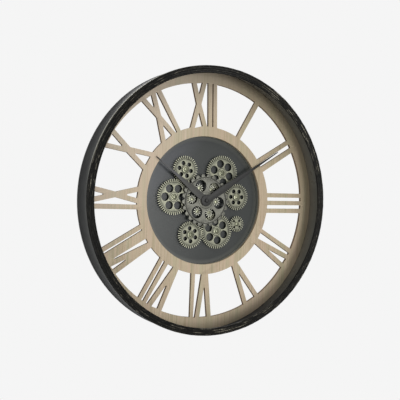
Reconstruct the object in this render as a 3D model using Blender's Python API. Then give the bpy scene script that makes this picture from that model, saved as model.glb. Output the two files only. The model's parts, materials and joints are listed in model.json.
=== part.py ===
"""Wall clock with an open numeral dial and a moving gear train, modelled piece by piece.

All sizes are in millimetres and degrees; the mesh helpers turn them into metres.
+Z is up, the clock faces -Y, and the origin is where the dial's axis meets the wall.
Angles in the dial's plane run anticlockwise from +X as seen from the front.
"""

import math

import bmesh
import bpy
from mathutils import Matrix, Vector

MM = 0.001
GAP = 0.3                 # seat between two pieces that touch
PAST = 1.0                # a cutter runs this far past the face that it opens
RUN = 0.3                 # radial running clearance

# Sides of the round pieces, from the rim down to the screws
RIM_SIDES = 72
HOUSING_SIDES = 48
WHEEL_SIDES = 16
SHAFT_SIDES = 12
SMALL_SIDES = 8

# Rim
RIM_R = 300.0
RIM_DEPTH = 64.0
RIM_SHEET = 2.0
FLANGE_WIDTH = 15.0
FLANGE_SKIRT = 4.0        # the rim reaches this far behind its flange
HOOP_WIDTH = 17.0
HOOP_THICK = 2.0

# Numeral dial
DIAL_CLEAR = 1.0
DIAL_THICK = 6.4
DIAL_HOLE_R = 147.0
INNER_RING_WIDTH = 22.5
OUTER_RING_WIDTH = 28.5
STROKE = 11.0             # width of the strokes of V and X
SLOT_MIN = 2.4            # narrowest slot the router cuts
DIAL_TURN = 0.9           # the numeral ring sits turned by this much

# Centre plate and the planes of the gears in front of it
PLATE_LAP = 11.0
PLATE_THICK = 1.5
SPACER_WIDTH = 7.0
SPACER_THICK = 6.7        # the ring holds the plate back from the dial
GEAR_STANDOFF = 4.5
GEAR_THICK = 3.0
PINION_THICK = 2.0
FACE_STANDOFF = 3.5
FACE_THICK = 2.5

# Gear train; tooth heights are shares of the module, tooth widths shares of the pitch
MODULE = 1.633
ADDENDUM = 0.95
DEDENDUM = 1.2
TIP_HALF = 0.12
ROOT_HALF = 0.31
PINIONS = 6
SUN_TEETH = 28
PINION_TEETH = 10
LARGE_TEETH = 48
MEDIUM_TEETH = 36
SMALL_TEETH = 21
TRAIN_TURN = 55.9         # direction of the first large gear from the centre
MEDIUM_LAG = 49.0         # a medium gear lies this far clockwise of its large one
SMALL_TURN = 17.5         # direction of the small gear from the third large one
SMALL_SLACK = 1.0         # it only decorates, so it meshes loosely
LARGE_HOLE_R = 9.4
LARGE_WEB = 8.2           # between the holes and the pitch circle
LARGE_HOLE_TURNS = (41.5, 0.0, 40.0)
MEDIUM_HOLE_R = 4.9
MEDIUM_WEB = 9.5
MEDIUM_HOLE_TURNS = (0.0, 49.0, 36.0)
SMALL_HOLE_R = 2.7
SMALL_WEB = 4.55
SMALL_HOLE_TURN = 50.0

# Face wheel; each tooth corner is a share of the height and a share of the pitch
FACE_TEETH = 25
FACE_TIP_R = 60.5
FACE_TOOTH_HEIGHT = 6.0
FACE_TOOTH = ((0.0, -0.36), (0.55, -0.24), (1.0, -0.1), (1.0, 0.1), (0.55, 0.24), (0.0, 0.36))
FACE_TOOTH_TURN = 83.8
WINDOWS = 6
WINDOW_R = 13.5
WINDOW_WEB = 6.0          # between the windows and the roots of the teeth
WINDOW_TURN = 52.0

# Drive behind the plate
DRIVE_MODULE = 1.75
MOTOR_TEETH = 8
DRIVE_THICK = 1.6
SLEEVE_WALL = 2.0
BUSH_WALL = 3.0
BUSH_FLANGE = 3.0
BUSH_FLANGE_THICK = 1.5

# Posts of the gears and studs of the pinions; a dome steps in at its shoulder
POST_R = 2.5
POST_BASE_R = 5.5
POST_WASHER_R = 7.5
POST_WASHER_THICK = 1.0
POST_DOME_R = 4.5
POST_DOME_HEIGHT = 1.8
STUD_R = 1.7
STUD_BASE_R = 4.0
STUD_WASHER_R = 3.2
STUD_WASHER_THICK = 0.7
STUD_DOME_R = 2.6
STUD_DOME_HEIGHT = 0.7
DOME_SHOULDER = 0.72
DOME_RISE = 0.75

# Hands and arbors
ARBOR_R = 1.4
PIPE_WALL = 1.0
SPOUT_WALL = 1.5
HAND_THICK = 1.2
HAND_STANDOFF = 1.4
HAND_HUB_R = 13.0
HAND_HUB_FILLET = 12.0    # angle at which the hub runs into the blade
HAND_HUB_SIDES = 18
MINUTE_LENGTH = 228.0
HOUR_LENGTH = 159.0
MINUTE_TURN = 32.5
HOUR_TURN = 143.8
NUT_R = 4.5
NUT_HEIGHT = 2.6

# Batteries, tray and movement
CELL_R = 7.1
CELL_LENGTH = 49.0
CELL_NUB = 1.2
CELL_NUB_R = 2.6
CELL_SPARE = 1.4          # depth left between a cell and the battery door
BAY_CLEAR = 0.9
BAY_WALL = 1.2
MOVEMENT_WALL = 2.45
MOVEMENT_BORE_DEPTH = 5.0
SWITCH_BLOCK = 16.0
SWITCH_SIDE = 5.0
SWITCH_THICK = 1.6
SWITCH_TRAVEL = 4.0
KNOB_R = 7.0
KNOB_THICK = 1.6
KNOB_STEM_R = 1.5
KNOB_STEM = 3.0
KNOB_RISE = 16.0

# Motor and bridge
MOTOR_R = 12.0
MOTOR_LENGTH = 14.0
MOTOR_SHAFT_R = 1.5
MOTOR_CLEAR = 1.5
BRIDGE_SHEET = 1.0
BRIDGE_LAP = 6.0

# Housing, cover and hanger
HOUSING_INSET = 27.0      # the housing is this much smaller than the dial's hole
HOUSING_WALL = 1.5
HOUSING_FLANGE = 8.0
COVER_THICK = 1.5
DOOR_LAP = 1.5
KNOB_CLEAR = 1.2          # free space round the setting knob
SCREWS = 4
SCREW_RING_INSET = 5.5
LUG_R = 5.0
SCREW_R = 1.4
SCREW_HEAD_R = 3.0
SCREW_LENGTH = 9.0
HANGER_INSET = 30.0
HANGER_WIDTH = 46.0
HANGER_HEIGHT = 36.0
HANGER_THICK = 1.5
KEY_R = 5.0
KEY_SLOT = 2.6
KEY_RISE = 12.0
KEY_DROP = 6.0
KEY_RELIEF = 1.0

# Glyphs of each numeral: edges as offsets clockwise from the hour's radius.
# I: left and right edge at the inner ring, then at the outer ring.
# V: the same. X: the same, then left and right edge where the strokes cross.
NUMERALS = {
    12: (("X", -43, -0.5, -40, -3, -28, -16), ("I", 3, 13, 1, 11.5), ("I", 16, 26, 14.5, 24)),
    1: (("I", -7, 4, -6.5, 6),),
    2: (("I", -17, -6, -17.5, -7.5), ("I", 3.5, 16.5, 2.5, 14.5)),
    3: (("I", -20, -9.5, -20, -9.5), ("I", -1.5, 9, -1.5, 9), ("I", 17.5, 28, 17.5, 28.5)),
    4: (("I", -20, -11, -19.5, -8.5), ("V", 5, 19.5, -3, 33)),
    5: (("V", -4, 12, -16.5, 30),),
    6: (("V", -10, 6.5, -19.5, 22), ("I", 23.5, 33.5, 27, 35.5)),
    7: (("V", -20.5, -7, -31, 7), ("I", 8.5, 18, 11.5, 19.5), ("I", 23.5, 32.5, 25, 34)),
    8: (("V", -24, -11, -30.5, 0), ("I", -0.5, 20, 1, 20.5), ("I", 23.5, 33, 25, 34.5)),
    9: (("I", -21.5, -11, -20.5, -9.5), ("X", -8, 28, -6.5, 27.5, 4.5, 16.5)),
    10: (("X", -21.5, 23, -27.5, 17, -9.5, 4),),
    11: (("X", -35, 6.5, -33.5, 4.5, -19, -7.5), ("I", 10.5, 20, 8.5, 19.5)),
}

# Half width of the minute hand along its length, as shares of that length.
HAND_SHAPE = ((0.085, 7.2), (0.17, 8.0), (0.25, 7.8), (0.33, 6.7), (0.42, 5.3), (0.53, 3.9), (0.64, 2.9),
              (0.76, 2.1), (0.89, 1.5), (1.0, 0.9))

# Radii that follow from the stack round the axis
DIAL_R = RIM_R - RIM_SHEET - DIAL_CLEAR
INNER_RING_R = DIAL_HOLE_R + INNER_RING_WIDTH
OUTER_RING_R = DIAL_R - OUTER_RING_WIDTH
CROSS_R = (INNER_RING_R + OUTER_RING_R) / 2
PLATE_R = DIAL_HOLE_R + PLATE_LAP
PIPE_BORE_R = ARBOR_R + RUN
PIPE_R = PIPE_BORE_R + PIPE_WALL
SPOUT_BORE_R = PIPE_R + RUN
SPOUT_R = SPOUT_BORE_R + SPOUT_WALL
SLEEVE_BORE_R = SPOUT_R + RUN
SLEEVE_R = SLEEVE_BORE_R + SLEEVE_WALL
WHEEL_BORE_R = SLEEVE_R + GAP
BUSH_BORE_R = SLEEVE_R + RUN
BUSH_R = BUSH_BORE_R + BUSH_WALL
PLATE_BORE_R = BUSH_R + GAP
SUN_PITCH_R = SUN_TEETH * MODULE / 2
PINION_PITCH_R = PINION_TEETH * MODULE / 2
LARGE_PITCH_R = LARGE_TEETH * MODULE / 2
MEDIUM_PITCH_R = MEDIUM_TEETH * MODULE / 2
SMALL_PITCH_R = SMALL_TEETH * MODULE / 2
PINION_RING = SUN_PITCH_R + PINION_PITCH_R
LARGE_RING = PINION_RING + PINION_PITCH_R + LARGE_PITCH_R
FACE_ROOT_R = FACE_TIP_R - FACE_TOOTH_HEIGHT
WINDOW_RING = FACE_ROOT_R - WINDOW_WEB - WINDOW_R
HOUSING_R = DIAL_HOLE_R - HOUSING_INSET
SCREW_RING = HOUSING_R - SCREW_RING_INSET
HANGER_Z = HOUSING_R - HANGER_INSET

# Places behind the plate that follow from the cells, the movement and the motor
BAY_HALF = CELL_R + BAY_CLEAR / 2
BAY_LENGTH = CELL_LENGTH + CELL_NUB + BAY_CLEAR
MOVEMENT_SIDE = BAY_LENGTH + 2 * MOVEMENT_WALL
CELL_DROP = MOVEMENT_SIDE / 2 - BAY_WALL - BAY_HALF
TRAY_HALF = BAY_HALF + BAY_WALL
TRAY_DROP = MOVEMENT_SIDE / 2 + GAP + TRAY_HALF
TRAY_END = BAY_LENGTH / 2 + BAY_WALL
SWITCH_X = TRAY_END + SWITCH_BLOCK / 2
DRIVE_TEETH = math.ceil(2 * (MOVEMENT_SIDE / 2 + MOTOR_R + MOTOR_CLEAR) / DRIVE_MODULE) - MOTOR_TEETH
DRIVE_TIP_R = (DRIVE_TEETH / 2 + ADDENDUM) * DRIVE_MODULE
MOTOR_X = (DRIVE_TEETH + MOTOR_TEETH) * DRIVE_MODULE / 2
BRIDGE_LEFT = MOVEMENT_SIDE / 2 + BRIDGE_LAP
BRIDGE_RIGHT = MOTOR_X + MOTOR_R + BRIDGE_LAP
BRIDGE_TOP = DRIVE_TIP_R + BRIDGE_LAP
BRIDGE_BOTTOM = TRAY_DROP + TRAY_HALF + BRIDGE_LAP

# Depths, from the wall forward
Y_COVER_FRONT = -COVER_THICK
Y_KNOB_BACK = -GAP
Y_KNOB_FRONT = Y_KNOB_BACK - KNOB_THICK
Y_WORKS_BACK = Y_KNOB_FRONT - GAP
Y_WORKS_FRONT = Y_WORKS_BACK - BAY_WALL - 2 * CELL_R - CELL_SPARE
Y_BRIDGE_BACK = Y_WORKS_FRONT - GAP
Y_BRIDGE_FRONT = Y_BRIDGE_BACK - BRIDGE_SHEET
Y_DRIVE_BACK = Y_BRIDGE_FRONT - GAP
Y_DRIVE_FRONT = Y_DRIVE_BACK - DRIVE_THICK
Y_PLATE_BACK = Y_DRIVE_FRONT - GAP
Y_PLATE_FRONT = Y_PLATE_BACK - PLATE_THICK
Y_SPACER_BACK = Y_PLATE_FRONT - GAP
Y_SPACER_FRONT = Y_SPACER_BACK - SPACER_THICK
Y_DIAL_BACK = Y_SPACER_FRONT - GAP
Y_DIAL_FRONT = Y_DIAL_BACK - DIAL_THICK
Y_FLANGE = Y_DIAL_BACK + GAP
Y_FLANGE_BACK = Y_FLANGE + RIM_SHEET
Y_RIM_BACK = Y_FLANGE_BACK + FLANGE_SKIRT
Y_RIM_FRONT = Y_RIM_BACK - RIM_DEPTH
Y_GEAR_BACK = Y_PLATE_FRONT - GEAR_STANDOFF
Y_GEAR_FRONT = Y_GEAR_BACK - GEAR_THICK
Y_PINION_FRONT = Y_GEAR_BACK - PINION_THICK
Y_FACE_BACK = Y_GEAR_FRONT - FACE_STANDOFF
Y_FACE_FRONT = Y_FACE_BACK - FACE_THICK
Y_HOUR_BACK = Y_FACE_FRONT - HAND_STANDOFF
Y_HOUR_FRONT = Y_HOUR_BACK - HAND_THICK
Y_MINUTE_BACK = Y_HOUR_FRONT - HAND_STANDOFF
Y_MINUTE_FRONT = Y_MINUTE_BACK - HAND_THICK
Y_BORE_END = Y_WORKS_FRONT + MOVEMENT_BORE_DEPTH
CELL_Y = Y_WORKS_FRONT + BAY_WALL + CELL_R


def linear(hex_colour):
    """The linear RGBA of an sRGB colour written as six hex digits."""
    channels = [int(hex_colour[i:i + 2], 16) / 255 for i in (0, 2, 4)]
    return [c / 12.92 if c <= 0.04045 else ((c + 0.055) / 1.055) ** 2.4 for c in channels] + [1.0]


def make_material(name, hex_colour, roughness, metallic):
    material = bpy.data.materials.new(name)
    material.use_nodes = True
    shader = material.node_tree.nodes["Principled BSDF"]
    shader.inputs["Base Color"].default_value = linear(hex_colour)
    shader.inputs["Roughness"].default_value = roughness
    shader.inputs["Metallic"].default_value = metallic
    return material


def make_materials():
    looks = {
        "rim_paint": ("3e3f3f", 0.42, 0.3),
        "rubbed_black": ("1f1f1d", 0.35, 0.4),
        "oak_veneer": ("b7a891", 0.6, 0.0),
        "slate_paint": ("4b4e4e", 0.4, 0.2),
        "champagne": ("a3a38a", 0.38, 0.8),
        "pewter": ("7d7d75", 0.42, 0.8),
        "charcoal": ("454543", 0.45, 0.2),
        "bright_steel": ("b4b5b2", 0.25, 1.0),
        "black_plastic": ("1d1d1e", 0.5, 0.0),
        "brass": ("b08d4c", 0.3, 1.0),
        "white_plastic": ("d8d6cf", 0.45, 0.0),
        "cell_wrap": ("4f6f57", 0.35, 0.1),
    }
    return {name: make_material(name, *look) for name, look in looks.items()}


def new_object(name, mesh, material, location=(0.0, 0.0, 0.0)):
    mesh.materials.append(material)
    obj = bpy.data.objects.new(name, mesh)
    obj.location = Vector(location) * MM
    bpy.context.collection.objects.link(obj)
    return obj


def finish_mesh(bm, name):
    bmesh.ops.recalc_face_normals(bm, faces=bm.faces)
    mesh = bpy.data.meshes.new(name)
    bm.to_mesh(mesh)
    bm.free()
    mesh.shade_smooth()
    mesh.set_sharp_from_angle(angle=math.radians(35))
    return mesh


def polar(radius, degrees):
    angle = math.radians(degrees)
    return radius * math.cos(angle), radius * math.sin(angle)


def circle(radius, count, centre=(0.0, 0.0), turn=0.0):
    points = [polar(radius, turn + 360 * i / count) for i in range(count)]
    return [(x + centre[0], z + centre[1]) for x, z in points]


def slab_mesh(name, outer, holes, y_front, y_back):
    """A flat plate in the dial's plane: one outer outline, any number of holes."""
    bm = bmesh.new()
    edges = []
    for loop in (outer, *holes):
        verts = [bm.verts.new((x * MM, y_front * MM, z * MM)) for x, z in loop]
        edges += [bm.edges.new((a, b)) for a, b in zip(verts, verts[1:] + verts[:1])]
    filled = bmesh.ops.triangle_fill(bm, use_beauty=True, edges=edges)
    faces = [item for item in filled["geom"] if isinstance(item, bmesh.types.BMFace)]
    pushed = bmesh.ops.extrude_face_region(bm, geom=faces)
    moved = [item for item in pushed["geom"] if isinstance(item, bmesh.types.BMVert)]
    bmesh.ops.translate(bm, verts=moved, vec=(0.0, (y_back - y_front) * MM, 0.0))
    return finish_mesh(bm, name)


def prism_mesh(name, outline_yz, x_low, x_high):
    """A bar with one section, given in depth and height, running along X."""
    bm = bmesh.new()
    face = bm.faces.new([bm.verts.new((x_low * MM, y * MM, z * MM)) for y, z in outline_yz])
    pushed = bmesh.ops.extrude_face_region(bm, geom=[face])
    moved = [item for item in pushed["geom"] if isinstance(item, bmesh.types.BMVert)]
    bmesh.ops.translate(bm, verts=moved, vec=((x_high - x_low) * MM, 0.0, 0.0))
    return finish_mesh(bm, name)


def box_mesh(name, low, high):
    outline = ((low[1], low[2]), (high[1], low[2]), (high[1], high[2]), (low[1], high[2]))
    return prism_mesh(name, outline, low[0], high[0])


def turned_mesh(name, profile, count, closed):
    """A turned piece round the Y axis from a profile of radius and depth."""
    bm = bmesh.new()
    verts = [bm.verts.new((radius * MM, y * MM, 0.0)) for radius, y in profile]
    pairs = list(zip(verts, verts[1:]))
    if closed:
        pairs.append((verts[-1], verts[0]))
    edges = [bm.edges.new(pair) for pair in pairs]
    bmesh.ops.spin(bm, geom=verts + edges, cent=(0.0, 0.0, 0.0), axis=(0.0, 1.0, 0.0),
                   angle=math.tau, steps=count, use_merge=True)
    bmesh.ops.remove_doubles(bm, verts=bm.verts, dist=1e-7)
    return finish_mesh(bm, name)


def ring_mesh(name, inner, outer, y_front, y_back, count):
    profile = ((inner, y_front), (outer, y_front), (outer, y_back), (inner, y_back))
    return turned_mesh(name, profile, count, True)


def rod_mesh(name, radius, y_front, y_back, count):
    profile = ((0.0, y_front), (radius, y_front), (radius, y_back), (0.0, y_back))
    return turned_mesh(name, profile, count, False)


def combine(target, tool, operation):
    """Joins or cuts the target with a hidden tool object."""
    tool.hide_render = True
    tool.display_type = "WIRE"
    modifier = target.modifiers.new(tool.name, "BOOLEAN")
    modifier.operation = operation
    modifier.object = tool


def joined_mesh(name, meshes):
    """One mesh that holds several separate tool shapes."""
    bm = bmesh.new()
    for mesh in meshes:
        bm.from_mesh(mesh)
    return finish_mesh(bm, name)


def moved_mesh(mesh, x, z):
    mesh.transform(Matrix.Translation((x * MM, 0.0, z * MM)))
    return mesh


def gear_outline(teeth, module, phase):
    """Straight-flanked teeth, one of them centred on the phase angle."""
    pitch = 360 / teeth
    tip = (teeth / 2 + ADDENDUM) * module
    root = (teeth / 2 - DEDENDUM) * module
    corners = ((root, -ROOT_HALF), (tip, -TIP_HALF), (tip, TIP_HALF), (root, ROOT_HALF))
    return [polar(radius, phase + pitch * (i + share)) for i in range(teeth) for radius, share in corners]


def meshing_phase(direction, teeth, phase, next_teeth):
    """Phase of a gear whose gap receives the tooth of the gear that drives it."""
    offset = (direction - phase) * teeth / 360
    return direction + 180 - (0.5 - offset) * 360 / next_teeth


def holes_ring(count, radius, ring, turn, sides):
    return [circle(radius, sides, polar(ring, turn + 360 * i / count)) for i in range(count)]


def on_circle(edge_low, edge_high, radius):
    """Where a straight glyph edge, given at both rings, meets a circle."""
    lean = (edge_high - edge_low) / (OUTER_RING_R - INNER_RING_R)
    offset = edge_low + lean * (radius - INNER_RING_R)
    return offset, math.sqrt(radius ** 2 - offset ** 2)


def glyph_sides(glyph):
    """Left and right outline of a glyph from the inner to the outer ring."""
    low_left, low_right, high_left, high_right = glyph[1:5]
    left = [on_circle(low_left, high_left, INNER_RING_R), on_circle(low_left, high_left, OUTER_RING_R)]
    right = [on_circle(low_right, high_right, INNER_RING_R), on_circle(low_right, high_right, OUTER_RING_R)]
    if glyph[0] == "X":
        left.insert(1, (glyph[5], CROSS_R))
        right.insert(1, (glyph[6], CROSS_R))
    return left, right


def notch(left_start, left_end, right_start, right_end):
    """The wedge between two strokes, blunt where it is as narrow as the router."""
    opening = right_end[0] - left_end[0] - 2 * STROKE
    closing = right_start[0] - left_start[0] - 2 * STROKE
    share = (SLOT_MIN - closing) / (opening - closing)
    foot_left = Vector(left_start).lerp(Vector(left_end), share)
    foot_right = Vector(right_start).lerp(Vector(right_end), share)
    return [(foot_left.x + STROKE, foot_left.y), (left_end[0] + STROKE, left_end[1]),
            (right_end[0] - STROKE, right_end[1]), (foot_right.x - STROKE, foot_right.y)]


def glyph_notches(glyph):
    left, right = glyph_sides(glyph)
    if glyph[0] == "V":
        return [notch(left[0], left[-1], right[0], right[-1])]
    if glyph[0] == "X":
        return [notch(left[1], left[2], right[1], right[2]), notch(left[1], left[0], right[1], right[0])]
    return []


def slot_between(right_side, left_side):
    """The slot between two glyphs of one numeral, blunt where it closes."""
    start = left_side[0][0] - right_side[0][0]
    end = left_side[-1][0] - right_side[-1][0]
    right_top, left_top = right_side[-1], left_side[-1]
    if end < SLOT_MIN:
        share = (start - SLOT_MIN) / (start - end)
        right_top = tuple(Vector(right_side[0]).lerp(Vector(right_top), share))
        left_top = tuple(Vector(left_side[0]).lerp(Vector(left_top), share))
    return list(right_side[:-1]) + [right_top, left_top] + list(left_side[:-1])[::-1]


def to_dial(hour, point):
    """A point from an hour's own frame (clockwise offset, radius) to the dial."""
    angle = math.radians(90 - 30 * hour + DIAL_TURN)
    offset, radius = point
    return (offset * math.sin(angle) + radius * math.cos(angle),
            radius * math.sin(angle) - offset * math.cos(angle))


def arc(radius, start, end, step=5.0):
    """Points strictly between two angles along a circle."""
    count = max(1, round(abs(end - start) / step))
    return [polar(radius, start + (end - start) * i / count) for i in range(1, count)]


def bearing(point):
    return math.degrees(math.atan2(point[1], point[0]))


def gap_after(hour):
    """The opening between one numeral and the next one clockwise."""
    follower = hour % 12 + 1
    near = [to_dial(hour, p) for p in glyph_sides(NUMERALS[hour][-1])[1]]
    far = [to_dial(follower, p) for p in glyph_sides(NUMERALS[follower][0])[0]]
    spans = []
    for end in (-1, 0):
        start_angle, end_angle = bearing(near[end]), bearing(far[end])
        spans.append((start_angle, end_angle - 360 if end_angle > start_angle else end_angle))
    top = arc(OUTER_RING_R, *spans[0])
    bottom = arc(INNER_RING_R, *spans[1])
    return near + top + far[::-1] + bottom[::-1]


def dial_openings():
    openings = []
    for hour, glyphs in NUMERALS.items():
        shapes = [shape for glyph in glyphs for shape in glyph_notches(glyph)]
        for glyph, neighbour in zip(glyphs, glyphs[1:]):
            shapes.append(slot_between(glyph_sides(glyph)[1], glyph_sides(neighbour)[0]))
        openings += [[to_dial(hour, point) for point in shape] for shape in shapes]
        openings.append(gap_after(hour))
    return openings


def build_rim(looks):
    back = Y_RIM_FRONT + HOOP_THICK
    band = ring_mesh("rim_band", RIM_R - RIM_SHEET, RIM_R, back + GAP, Y_FLANGE - GAP, RIM_SIDES)
    new_object("rim_band", band, looks["rim_paint"])
    inner, skirt = RIM_R - FLANGE_WIDTH, RIM_R - RIM_SHEET
    profile = ((inner, Y_FLANGE), (RIM_R, Y_FLANGE), (RIM_R, Y_RIM_BACK), (skirt, Y_RIM_BACK),
               (skirt, Y_FLANGE_BACK), (inner, Y_FLANGE_BACK))
    new_object("rim_flange", turned_mesh("rim_flange", profile, RIM_SIDES, True), looks["rim_paint"])
    hoop = ring_mesh("front_hoop", RIM_R - HOOP_WIDTH, RIM_R, Y_RIM_FRONT, back, RIM_SIDES)
    new_object("front_hoop", hoop, looks["rubbed_black"])


def build_dial(looks):
    holes = [circle(DIAL_HOLE_R, RIM_SIDES)] + dial_openings()
    dial = slab_mesh("numeral_dial", circle(DIAL_R, RIM_SIDES), holes, Y_DIAL_FRONT, Y_DIAL_BACK)
    new_object("numeral_dial", dial, looks["oak_veneer"])
    bore = circle(PLATE_BORE_R, WHEEL_SIDES)
    plate = slab_mesh("centre_plate", circle(PLATE_R, RIM_SIDES), [bore], Y_PLATE_FRONT, Y_PLATE_BACK)
    new_object("centre_plate", plate, looks["slate_paint"])
    inner = PLATE_R - SPACER_WIDTH
    spacer = ring_mesh("plate_spacer", inner, PLATE_R, Y_SPACER_FRONT, Y_SPACER_BACK, RIM_SIDES)
    new_object("plate_spacer", spacer, looks["slate_paint"])


def build_centre_drive(looks):
    """The pieces that turn together on the dial's axis, and their bearing."""
    flange_front = Y_PLATE_FRONT - GAP - BUSH_FLANGE_THICK
    flange_back = Y_PLATE_FRONT - GAP
    flange = BUSH_R + BUSH_FLANGE
    profile = ((BUSH_BORE_R, flange_front), (flange, flange_front), (flange, flange_back),
               (BUSH_R, flange_back), (BUSH_R, Y_PLATE_BACK), (BUSH_BORE_R, Y_PLATE_BACK))
    new_object("bearing_bush", turned_mesh("bearing_bush", profile, WHEEL_SIDES, True), looks["brass"])
    sleeve = ring_mesh("drive_sleeve", SLEEVE_BORE_R, SLEEVE_R, Y_FACE_FRONT, Y_DRIVE_BACK, WHEEL_SIDES)
    new_object("drive_sleeve", sleeve, looks["bright_steel"])
    bore = circle(WHEEL_BORE_R, WHEEL_SIDES)
    outline = gear_outline(SUN_TEETH, MODULE, TRAIN_TURN)
    sun = slab_mesh("sun_gear", outline, [bore], Y_PINION_FRONT, Y_GEAR_BACK)
    new_object("sun_gear", sun, looks["champagne"])
    outline = gear_outline(DRIVE_TEETH, DRIVE_MODULE, 0.0)
    drive = slab_mesh("drive_gear", outline, [bore], Y_DRIVE_FRONT, Y_DRIVE_BACK)
    new_object("drive_gear", drive, looks["white_plastic"])
    windows = holes_ring(WINDOWS, WINDOW_R, WINDOW_RING, WINDOW_TURN, WHEEL_SIDES)
    face = slab_mesh("face_wheel", face_outline(), [bore, *windows], Y_FACE_FRONT, Y_FACE_BACK)
    new_object("face_wheel", face, looks["pewter"])


def face_outline():
    """Rounded teeth with rounded gaps, as on a cast sprocket."""
    pitch = 360 / FACE_TEETH
    return [polar(FACE_ROOT_R + rise * FACE_TOOTH_HEIGHT, FACE_TOOTH_TURN + pitch * (i + share))
            for i in range(FACE_TEETH) for rise, share in FACE_TOOTH]


def build_post(name, looks, centre, front, sizes):
    """A shouldered post on the centre plate with its washer and domed head."""
    shank, base, washer, washer_thick, dome, dome_height = sizes
    back = Y_PLATE_FRONT - GAP
    head = front - GAP
    shoulder = Y_GEAR_BACK + GAP
    profile = [(0.0, back), (base, back), (base, shoulder), (shank, shoulder), (shank, head)]
    profile += [(washer, head), (washer, head - washer_thick)]
    seat = head - washer_thick
    profile += [(dome, seat), (DOME_SHOULDER * dome, seat - DOME_RISE * dome_height)]
    profile += [(0.0, seat - dome_height)]
    location = (centre[0], 0.0, centre[1])
    new_object(name, turned_mesh(name, profile, SMALL_SIDES, False), looks["bright_steel"], location)


def build_gear(name, looks, centre, teeth, phase, bore, holes, front):
    outline = gear_outline(teeth, MODULE, phase)
    mesh = slab_mesh(name, outline, [circle(bore, SMALL_SIDES), *holes], front, Y_GEAR_BACK)
    new_object(name, mesh, looks["champagne"], (centre[0], 0.0, centre[1]))


def build_train(looks):
    """Six pinions round the sun gear; every second one drives a large gear and its followers."""
    post = (POST_R, POST_BASE_R, POST_WASHER_R, POST_WASHER_THICK, POST_DOME_R, POST_DOME_HEIGHT)
    stud = (STUD_R, STUD_BASE_R, STUD_WASHER_R, STUD_WASHER_THICK, STUD_DOME_R, STUD_DOME_HEIGHT)
    bore = POST_R + RUN
    for i in range(PINIONS):
        direction = TRAIN_TURN + 360 * i / PINIONS
        centre = polar(PINION_RING, direction)
        phase = meshing_phase(direction, SUN_TEETH, TRAIN_TURN, PINION_TEETH)
        build_gear(f"pinion_{i + 1}", looks, centre, PINION_TEETH, phase, STUD_R + RUN, [], Y_PINION_FRONT)
        build_post(f"pinion_stud_{i + 1}", looks, centre, Y_PINION_FRONT, stud)
        if i % 2:
            continue
        k = i // 2
        large_centre = polar(LARGE_RING, direction)
        large_phase = meshing_phase(direction, PINION_TEETH, phase, LARGE_TEETH)
        large_holes = gear_holes(6, LARGE_PITCH_R, LARGE_WEB, LARGE_HOLE_R, LARGE_HOLE_TURNS[k], SHAFT_SIDES)
        build_gear(f"large_gear_{k + 1}", looks, large_centre, LARGE_TEETH, large_phase, bore,
                   large_holes, Y_GEAR_FRONT)
        build_post(f"gear_post_{k + 1}", looks, large_centre, Y_GEAR_FRONT, post)
        side, medium_centre = medium_place(direction, large_centre)
        medium_phase = meshing_phase(side, LARGE_TEETH, large_phase, MEDIUM_TEETH)
        medium_holes = gear_holes(6, MEDIUM_PITCH_R, MEDIUM_WEB, MEDIUM_HOLE_R, MEDIUM_HOLE_TURNS[k],
                                  SMALL_SIDES)
        build_gear(f"medium_gear_{k + 1}", looks, medium_centre, MEDIUM_TEETH, medium_phase, bore,
                   medium_holes, Y_GEAR_FRONT)
        build_post(f"gear_post_{k + 4}", looks, medium_centre, Y_GEAR_FRONT, post)
    x, z = polar(LARGE_PITCH_R + SMALL_PITCH_R + SMALL_SLACK, SMALL_TURN)
    small_centre = (large_centre[0] + x, large_centre[1] + z)
    small_phase = meshing_phase(SMALL_TURN, LARGE_TEETH, large_phase, SMALL_TEETH)
    small_holes = gear_holes(4, SMALL_PITCH_R, SMALL_WEB, SMALL_HOLE_R, SMALL_HOLE_TURN, SMALL_SIDES)
    build_gear("small_gear", looks, small_centre, SMALL_TEETH, small_phase, bore, small_holes, Y_GEAR_FRONT)
    build_post("gear_post_7", looks, small_centre, Y_GEAR_FRONT, post)


def gear_holes(count, pitch_radius, web, radius, turn, sides):
    return holes_ring(count, radius, pitch_radius - web - radius, turn, sides)


def medium_place(direction, large_centre):
    """Direction from the large gear to its medium gear, and the medium gear's centre."""
    reach = LARGE_PITCH_R + MEDIUM_PITCH_R
    ray = Vector(polar(1.0, direction - MEDIUM_LAG))
    along = ray.dot(Vector(large_centre))
    centre = ray * (along + math.sqrt(reach ** 2 - (LARGE_RING ** 2 - along ** 2)))
    offset = centre - Vector(large_centre)
    return math.degrees(math.atan2(offset.y, offset.x)), tuple(centre)


def hand_outline(length, turn):
    """A long lance with a round hub."""
    upper = [(length * share, half) for share, half in HAND_SHAPE]
    blade = [(x, -half) for x, half in upper] + [(x, half) for x, half in reversed(upper)]
    join = math.degrees(math.asin(HAND_SHAPE[0][1] / HAND_HUB_R)) + HAND_HUB_FILLET
    step = (360 - 2 * join) / HAND_HUB_SIDES
    blade += [polar(HAND_HUB_R, join + step * i) for i in range(HAND_HUB_SIDES + 1)]
    spun = Matrix.Rotation(math.radians(turn), 2)
    return [tuple(spun @ Vector(point)) for point in blade]


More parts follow.
